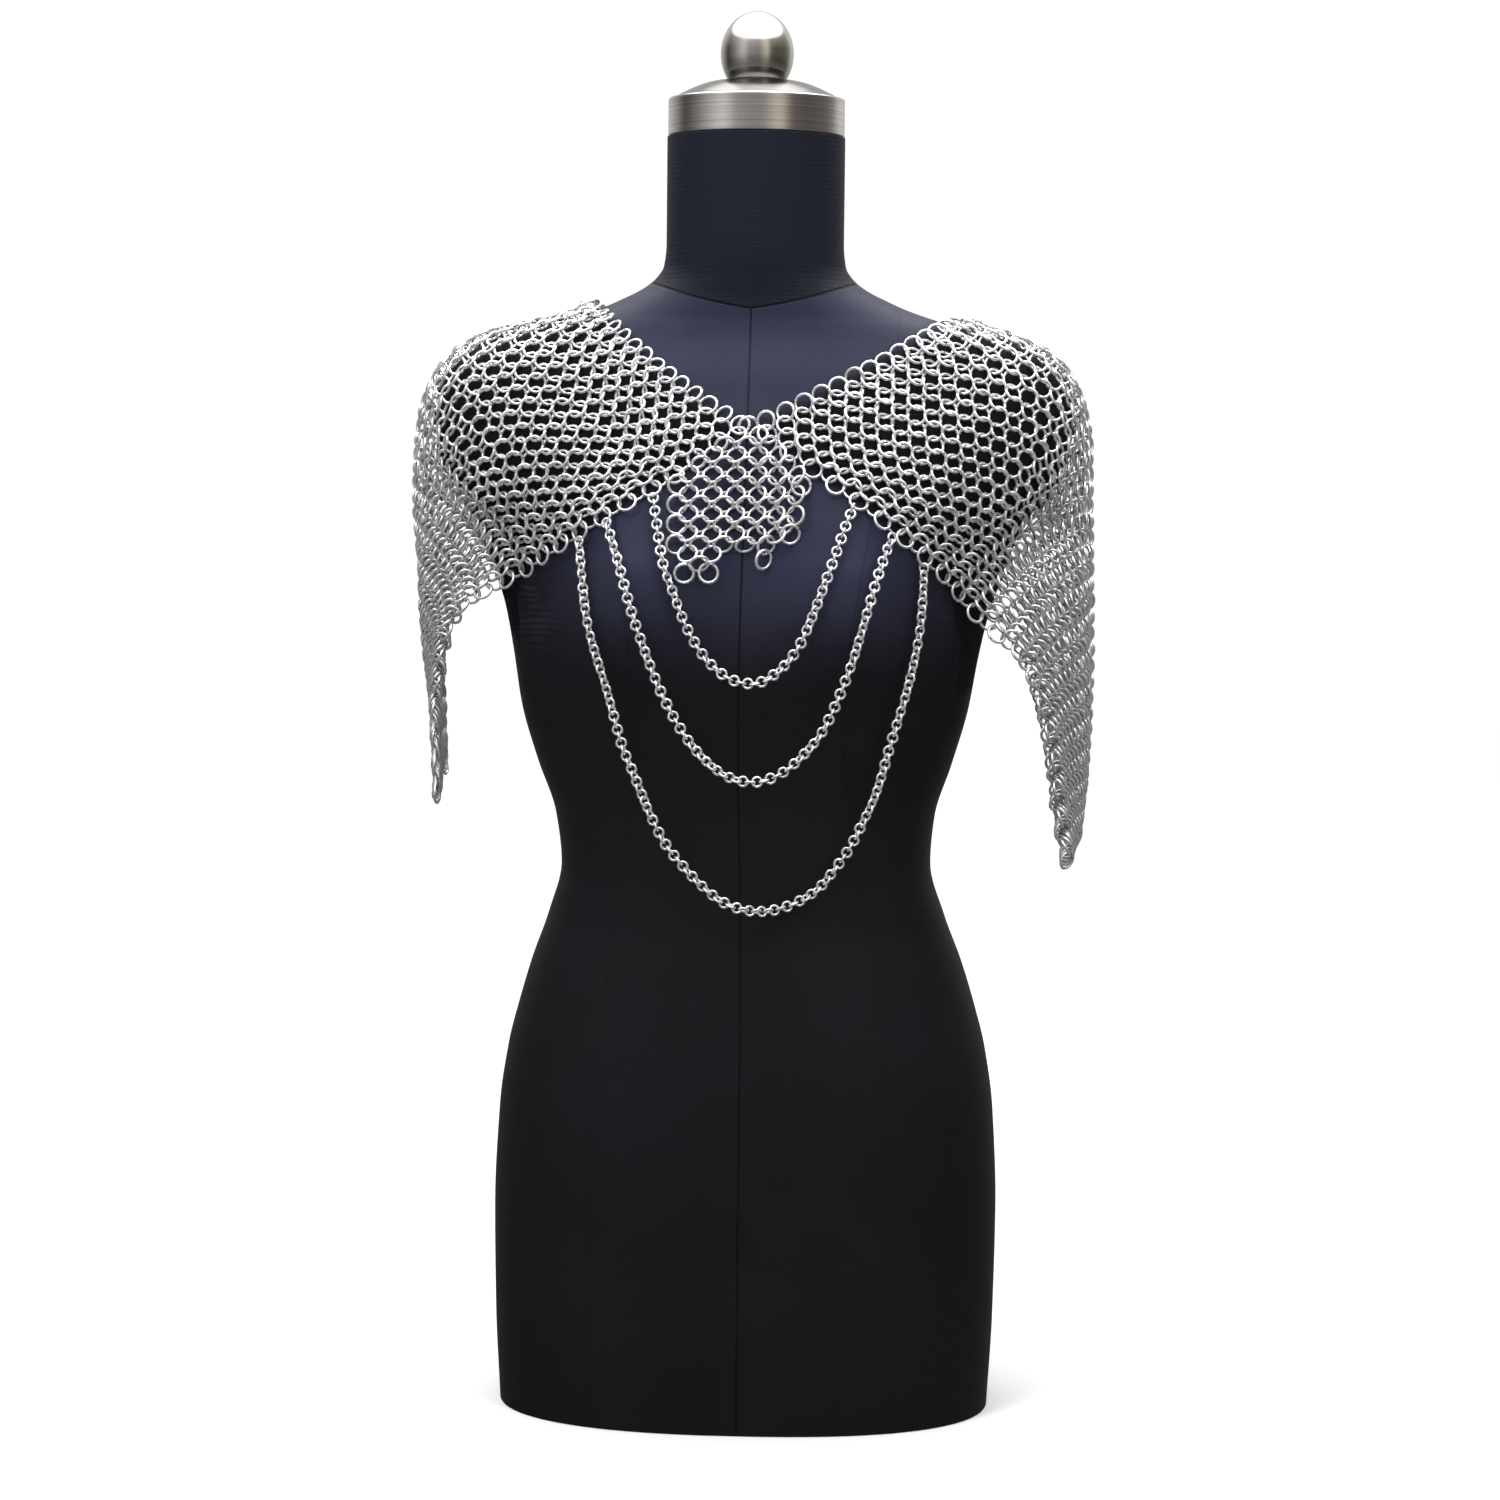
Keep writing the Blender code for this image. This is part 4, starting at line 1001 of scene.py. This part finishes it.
def hang_chain(node, swag, settings, material, chance):
    """One swag of round links, each threaded through the next and turned a quarter turn.

    A link's normal is cos(t) F + sin(t) S, with F the way off the form squared up to the chain, S
    the way across, and t a quarter turn in every other link plus a little twist.
    """
    path = smooth_route(swag_path(swag, settings.diameter), CHAIN_POINT_SPACING)
    fine = smooth_route(path, CHAIN_FINE_STEP)
    length = length_along(fine)
    radius = 0.5 * (settings.diameter - settings.wire)
    count = int(length[-1] / (2.0 * radius - settings.wire))
    link = np.arange(count)
    centres = points_at((link + 0.5) * length[-1] / count, length, fine)
    along = unit(np.gradient(centres, axis=0))
    face = square_to(form_distance(centres)[1], along)
    tones = chance.random(count)
    quarter = np.where(link % 2 == 0, 0.0, 0.5 * np.pi)
    angle = (quarter + settings.twist * np.sin(link * LINK_WAVE)
             + LINK_PLAY * chance.standard_normal(count))[:, None]
    normals = face * np.cos(angle) + np.cross(along, face) * np.sin(angle)
    made = wire_rings(node + "_links", centres, normals, along, radius, settings.wire,
                      (settings.segments, LINK_WIRE_STEPS), material, tones)
    stand_for(made, node)


class CAPE_OT_chains(bpy.types.Operator):
    """Hang the three chain swags between the panels' front edges"""
    bl_idname = "cape.chains"
    bl_label = "Hang Chains"

    def execute(self, context):
        settings = context.scene.cape_chain
        material = ring_metal("chain_metal", settings.bright, settings.low_tone, settings.rough)
        chance = np.random.default_rng(CHAIN_SEED)
        for node, swag in SWAGS.items():
            hang_chain(node, swag, settings, material, chance)
        return {"FINISHED"}


def closed_loft(name, rings, material, attributes=()):
    """A skin over a stack of rings of points, its two ends closed to their middles."""
    rows, columns = rings.shape[:2]
    ends = rings[[0, -1]]
    middles = ends.mean(axis=1, keepdims=True)
    tight = middles + (ends - middles) * POLE_SIZE
    full = np.concatenate([tight[:1], rings, tight[1:]])
    values = [(key, np.concatenate([data[:1], data, data[-1:]])) for key, data in attributes]
    return mesh_object(name, full, grid_faces(rows + 2, columns, False, True), material, values)


def turned_skin(name, profile, segments, material):
    """A solid turned about the upright axis from (radius, height) points, bottom to top."""
    turn = full_turn(segments)
    radius, height = np.array(profile).T[:, :, None]
    return closed_loft(name, xyz(radius * np.cos(turn), radius * np.sin(turn), height), material)


def mail_cover(points):
    """How far each point of the form lies under the panels, 0 to 1.

    Turned round the upright axis, the neckline and the lower edges are heights over the angle;
    a point between them is covered, with a soft border.
    """
    angle = np.arctan2(points[..., 0], -points[..., 1])
    fine = np.linspace(0.0, 1.0, ROW_SAMPLES)
    necks, lows = [], []
    for stations in (LEFT_STATIONS, RIGHT_STATIONS):
        necks.append(panel_points(stations, fine, 0.0 * fine))
        for end in (0.0, 1.0):
            lows.append(panel_points(stations, end + 0.0 * fine, COVER_SHARE * fine))
    edges = []
    for line in (np.concatenate(necks), np.concatenate(lows)):
        turn = np.arctan2(line[:, 0], -line[:, 1])
        order = np.argsort(turn)
        edges.append(np.interp(angle, turn[order], line[order, 2], period=2.0 * np.pi))
    above = np.clip((edges[0] - points[..., 2]) / COVER_BORDER, 0.0, 1.0)
    below = np.clip((points[..., 2] - edges[1]) / COVER_BORDER, 0.0, 1.0)
    return above * below


def form_rings(settings):
    """The form's skin as a stack of rings of points, with the places that its seams follow.

    A ring is a superellipse: x = w sign(c) |c|^(2/s) and y = d sign(k) |k|^(2/s), with c and k the
    cosine and sine of the turn, s the squareness and d the front's depth or the back's. The seams'
    places are the distances from the centre line, the princess lines and the collar line.
    """
    table = np.array([row.height for row in FORM_SECTIONS])
    weight = np.linspace(0.0, 1.0, settings.rings)
    by_table = np.interp(weight, np.linspace(0.0, 1.0, len(table)), table)
    heights = EVEN_SHARE * (weight * NECK_TOP) + (1.0 - EVEN_SHARE) * by_table
    heights = np.sort(np.append(heights, (RIM_STEP, NECK_TOP - RIM_STEP)))[:, None]
    turn = full_turn(settings.segments)
    half_width, front, back, squareness = form_section(heights)
    cosine, sine = np.cos(turn), np.sin(turn)
    side = half_width * np.sign(cosine) * np.abs(cosine) ** (2.0 / squareness)
    reach = np.where(sine < 0.0, front + bust_depth(side, heights), back)
    depth = reach * np.sign(sine) * np.abs(sine) ** (2.0 / squareness)
    rings = xyz(side + form_middle(heights), depth, heights)
    wider = 1.0 - np.exp(-((heights - PRINCESS_HEIGHT) / PRINCESS_SPREAD) ** 2)
    raised = np.where(sine < 0.0, COLLAR_FRONT, COLLAR_BACK) * (1.0 - np.abs(cosine))
    seams = xyz(side, np.abs(side) - (PRINCESS_SIDE + PRINCESS_MORE * wider),
                heights - (COLLAR_HEIGHT + raised))
    return rings, seams


class CAPE_OT_form(bpy.types.Operator):
    """Cover the dress form in seamed leatherette"""
    bl_idname = "cape.form"
    bl_label = "Cover Form"

    def execute(self, context):
        settings = context.scene.cape_form
        rings, seams = form_rings(settings)
        # The share of each point under the mail, which the leather shows as painted shade and more
        # roughness
        cover = mail_cover(rings)
        made = closed_loft("form_skin", rings, leather_material(settings.leather),
                           (("seams", seams), ("rubbed", xyz(cover, cover, cover))))
        stand_for(made, "form_body")
        return {"FINISHED"}


def cap_profile():
    """The cap's outline from its lower edge up the band, over the groove and across the lid."""
    bottom = NECK_TOP + SEAM_GAP
    edge = CAP_EDGE_ROUND
    rim = CAP_BAND_RADIUS - edge
    lid = rim - CAP_LID_IN
    quarter = np.linspace(0.0, 0.5 * np.pi, CAP_EDGE_STEPS)
    return [
        *((rim + edge * math.sin(t), bottom + edge - edge * math.cos(t)) for t in quarter),
        (CAP_BAND_RADIUS, bottom + CAP_BAND_STEP), (CAP_BAND_RADIUS, CAP_BAND_TOP - CAP_BAND_STEP),
        *((rim + edge * math.cos(t), CAP_BAND_TOP - edge + edge * math.sin(t)) for t in quarter),
        (rim - CAP_GROOVE_IN, CAP_BAND_TOP - CAP_GROOVE_DOWN), (lid, CAP_BAND_TOP + CAP_LID_UP),
        *((lid - (lid - CAP_SEAT_RADIUS) * t,
           CAP_BAND_TOP + (CAP_DOME_TOP - CAP_BAND_TOP) * math.sin(t * 0.5 * math.pi))
          for t in np.linspace(0.0, 1.0, CAP_LID_STEPS)[1:])]


def ball_profile():
    """The ball's outline from its flat seat to its top, a turned ellipse."""
    middle = FINIAL_TOP - FINIAL_HALF_HEIGHT
    low = math.asin((CAP_DOME_TOP + SEAM_GAP - middle) / FINIAL_HALF_HEIGHT)
    return [(FINIAL_HALF_WIDTH * math.cos(a), middle + FINIAL_HALF_HEIGHT * math.sin(a))
            for a in np.linspace(low, BALL_TOP_ANGLE, BALL_STEPS)]


class CAPE_OT_cap(bpy.types.Operator):
    """Put the brushed band, its shallow lid and the polished ball on the neck"""
    bl_idname = "cape.cap"
    bl_label = "Cap Neck"

    def execute(self, context):
        settings = context.scene.cape_form
        cap = turned_skin("cap_skin", cap_profile(), settings.cap_segments,
                          brushed_material(settings.band))
        ball = turned_skin("ball_skin", ball_profile(), settings.cap_segments,
                           polished_material(settings.ball))
        stand_for(cap, "form_cap")
        stand_for(ball, "form_finial")
        return {"FINISHED"}


def lean_and_settle(centres, normals, along, lean, turn, loose, settings, chance):
    """Lean rings along their rows and turn them about those, add play, and clear the form.

    A ring's normal is cos(lean) N + sin(lean) U + sin(turn) N x U, with N the mail's own normal
    and U the direction along the row. The lean's sign changes from one row to the next.
    """
    across = np.cross(normals, along)
    lean = lean + settings.play * loose * chance.standard_normal(len(lean))
    turn = turn + settings.play * loose * chance.standard_normal(len(lean))
    own = unit(normals * np.cos(lean)[:, None] + along * np.sin(lean)[:, None]
               + across * np.sin(turn)[:, None])
    spread = np.sqrt(np.clip(1.0 - np.sum(own * normals, axis=1) ** 2, 0.0, 1.0))
    clear = settings.radius * spread + 0.5 * settings.wire + RING_CLEAR
    return settle_on_form(centres, clear, np.zeros(len(centres))), own


def panel_rings(stations, settings, layout, chance):
    """Centres, normals and row directions of a panel's rings.

    Ring j of row r sits at u = (j + first ring + k / 2) / (n + spare) of its row, where k is 0 in
    the rows that reach the front edge and 1 in those between. With t = 1 - |2u - 1| its share of
    the row's length comes from t - c t (1 - t)^2, so the rings crowd towards the two edges. The
    row runs at (r + first row) / m across the sheet at the edges and closer to the neck between.
    """
    rows, count = settings.rows, settings.rings
    fine = np.linspace(0.0, 1.0, ROW_SAMPLES)
    row = np.arange(rows)
    middle = 1.0 - np.abs(2.0 * fine - 1.0) ** 3
    place = (row[:, None] + 0.5) / rows
    across = ((row[:, None] + FIRST_ROW + layout.shoulder_rows * middle) / rows
              - smooth_value(ROW_SHIFT_PLACES, layout.row_shift, place) * middle)
    surface = panel_points(stations, fine + 0.0 * across, across)
    drawn = smooth_value(TAIL_PLACES, layout.tail, across)
    spread = 1.0 + TAIL_FLARE * surface[..., 1]
    axis_line = (surface[..., 0] / spread).mean(axis=1, keepdims=True) * spread
    surface[..., 0] = axis_line + (surface[..., 0] - axis_line) * drawn
    direction = unit(np.gradient(surface, axis=1))
    normal = unit(np.cross(direction, np.gradient(surface, axis=0)))
    normal *= np.sign(np.sum(normal * form_distance(surface)[1]))
    length = length_along(surface)
    kind = ((row + layout.stick_out) % 2)[:, None]
    even = (np.arange(count) + FIRST_RING + 0.5 * kind) / (count + SPARE_RINGS)
    crowd = smooth_value(CROWD_PLACES, CROWDS, place)
    near = 1.0 - np.abs(2.0 * even - 1.0)
    moved = near - crowd * near * (1.0 - near) ** 2
    share = 0.5 + 0.5 * np.sign(even - 0.5) * (1.0 - moved)
    wanted = share * length[:, -1:]
    flat = [np.concatenate([points_at(wanted[r], length[r], values[r]) for r in row])
            for values in (surface, normal, direction)]
    pitch = length[:, -1:] / (count + SPARE_RINGS) * (1.0 - crowd * (1.0 - near) * (1.0 - 3.0 * near))
    tilt = np.interp(pitch, TILT_PITCHES, TILT_ANGLES)
    edge = np.where(kind == 0, np.arange(count) == 0, np.arange(count) == count - 1)
    tilt = np.where(edge, EDGE_TILT * tilt, tilt) * smooth_value(TAIL_PLACES, layout.lean, place)
    lean = np.where(kind == 0, 1.0, -1.0) * tilt
    loose = np.where(edge, EDGE_PLAY, 1.0)
    loose[0] = NECK_PLAY
    centres, normals = lean_and_settle(flat[0], unit(flat[1]), unit(flat[2]), lean.ravel(), 0.0,
                                       loose.ravel(), settings, chance)
    return centres, normals, unit(flat[2])


class CAPE_OT_panels(bpy.types.Operator):
    """Lay the two panels of linked rings over the shoulders"""
    bl_idname = "cape.panels"
    bl_label = "Lay Panels"

    def execute(self, context):
        settings = context.scene.cape_mail
        material = ring_metal("ring_metal", settings.bright, settings.low_tone, settings.rough)
        for node, stations, layout, seed in (
                ("mail_left", LEFT_STATIONS, LEFT_LAYOUT, LEFT_SEED),
                ("mail_right", RIGHT_STATIONS, RIGHT_LAYOUT, RIGHT_SEED)):
            chance = np.random.default_rng(seed)
            centres, normals, along = panel_rings(stations, settings, layout, chance)
            links = settle_on_form(np.array(layout.links), LINK_CLEAR, np.ones(len(layout.links)))
            centres = np.concatenate([centres, links])
            normals = np.concatenate([normals, form_distance(links)[1]])
            along = np.concatenate([along, np.tile((0.0, 0.0, 1.0), (len(links), 1))])
            # Random tones, lowered on the low hanging rings to paint the shade that they hang in
            low_tone = np.clip((SHADE_FROM - centres[:, 2]) / SHADE_OVER, 0.0, 1.0)
            tones = chance.random(len(centres)) * (1.0 - SHADE_CLOSER * low_tone) - SHADE_LOWER * low_tone
            made = wire_rings(node + "_rings", centres, normals, along, settings.radius,
                              settings.wire, RING_STEPS, material, tones)
            stand_for(made, node)
        return {"FINISHED"}


def flap_rings(settings, chance):
    """Centres, normals and row directions of the flap's rings and of the single rings under it.

    The lattice has a ring at each step up its columns, every other column half a step higher, kept
    where it is above the flap's lower edge and under the panels' front edges. Rings of one column
    tilt one way and those of the next the other, and towards the right they bunch and turn more.
    """
    side = np.array(FLAP_COLUMNS)[:, None]
    kind = (np.arange(len(side)) + 1)[:, None] % 2
    low_side = [row.side_bottom for row in FLAP_STATIONS]
    bottom = np.interp(side, low_side, [row.bottom for row in FLAP_STATIONS])
    lift = np.interp(side, low_side, [row.lift for row in FLAP_STATIONS])
    top = front_edge_height(side)
    height = FLAP_LOWEST + FLAP_PITCH * (np.arange(FLAP_STEPS) + 0.5 * kind)
    reach = top - FLAP_TOP_GAP + FLAP_TUCK * np.exp(-(side / FLAP_TUCK_WIDTH) ** 2)
    keep = (height > bottom + FLAP_BOTTOM_GAP) & (height < reach)
    clear = FLAP_CLEAR + lift * np.clip((top - height) / FLAP_DROP, 0.0, 1.0)
    lattice = xyz(side, depth_in_front(side, height, clear), height)[keep]
    hung = np.array(FLAP_RINGS)
    single = xyz(hung[:, 0], depth_in_front(hung[:, 0], hung[:, 1], FLAP_RING_CLEAR), hung[:, 1])
    points = np.concatenate([lattice, single])
    normals = unit(FLAP_SKIN_SHARE * form_distance(points)[1] + np.array(FLAP_AHEAD))
    along = unit(np.cross((1.0, 0.0, 0.0), normals))
    bunched = np.clip(side / FLAP_BUNCH_SIDE, 0.0, 1.0)
    sign = np.where(kind == 1, 1.0, -1.0)
    tilt = np.where(side == FLAP_COLUMNS[0], FLAP_EDGE_TILT, FLAP_TILT) * (1.0 - FLAP_TILT_LOSS * bunched)
    lean, turn, loose = (
        np.concatenate([np.broadcast_to(values, keep.shape)[keep], extra])
        for values, extra in ((tilt * sign, hung[:, 2]),
                              ((FLAP_TURN + FLAP_TURN_MORE * bunched) * sign, hung[:, 3]),
                              (FLAP_PLAY + FLAP_PLAY_MORE * bunched, np.ones(len(hung)))))
    centres, normals = lean_and_settle(points, normals, along, lean, turn, loose, settings, chance)
    return centres, normals, along


class CAPE_OT_flap(bpy.types.Operator):
    """Hang the centre-front flap of rings from the panels' edges"""
    bl_idname = "cape.flap"
    bl_label = "Hang Flap"

    def execute(self, context):
        settings = context.scene.cape_mail
        chance = np.random.default_rng(FLAP_SEED)
        centres, normals, along = flap_rings(settings, chance)
        material = ring_metal("flap_metal", settings.bright, settings.flap_dull, settings.rough)
        made = wire_rings("mail_flap_rings", centres, normals, along,
                          FLAP_RING_SIZE * settings.radius, settings.wire, RING_STEPS, material,
                          chance.random(len(centres)))
        stand_for(made, "mail_flap")
        return {"FINISHED"}


class CAPE_PT_panel(bpy.types.Panel):
    """The cape's pieces in the order they are made"""
    bl_label = "Chainmail Cape"
    bl_idname = "CAPE_PT_panel"
    bl_space_type = "VIEW_3D"
    bl_region_type = "UI"
    bl_category = "Cape"

    def draw(self, context):
        for group, operators in (("cape_stage", ("cape.stage",)), ("cape_chain", ("cape.chains",)),
                                 ("cape_form", ("cape.form", "cape.cap")),
                                 ("cape_mail", ("cape.panels", "cape.flap"))):
            box = self.layout.box()
            settings = getattr(context.scene, group)
            for key in settings.__annotations__:
                box.prop(settings, key)
            for name in operators:
                box.operator(name)


GROUPS = (("cape_stage", StageSettings), ("cape_chain", ChainSettings),
          ("cape_form", FormSettings), ("cape_mail", MailSettings))
CLASSES = (CAPE_OT_stage, CAPE_OT_chains, CAPE_OT_form, CAPE_OT_cap, CAPE_OT_panels,
           CAPE_OT_flap, CAPE_PT_panel)


def register():
    for name, group in GROUPS:
        bpy.utils.register_class(group)
        setattr(bpy.types.Scene, name, bpy.props.PointerProperty(type=group))
    for made in CLASSES:
        bpy.utils.register_class(made)


def unregister():
    for made in reversed(CLASSES):
        bpy.utils.unregister_class(made)
    for name, group in reversed(GROUPS):
        delattr(bpy.types.Scene, name)
        bpy.utils.unregister_class(group)


def main():
    register()
    bpy.ops.cape.stage()
    bpy.ops.cape.chains()
    bpy.ops.cape.form()
    bpy.ops.cape.cap()
    bpy.ops.cape.panels()
    bpy.ops.cape.flap()


if __name__ == "__main__":
    main()
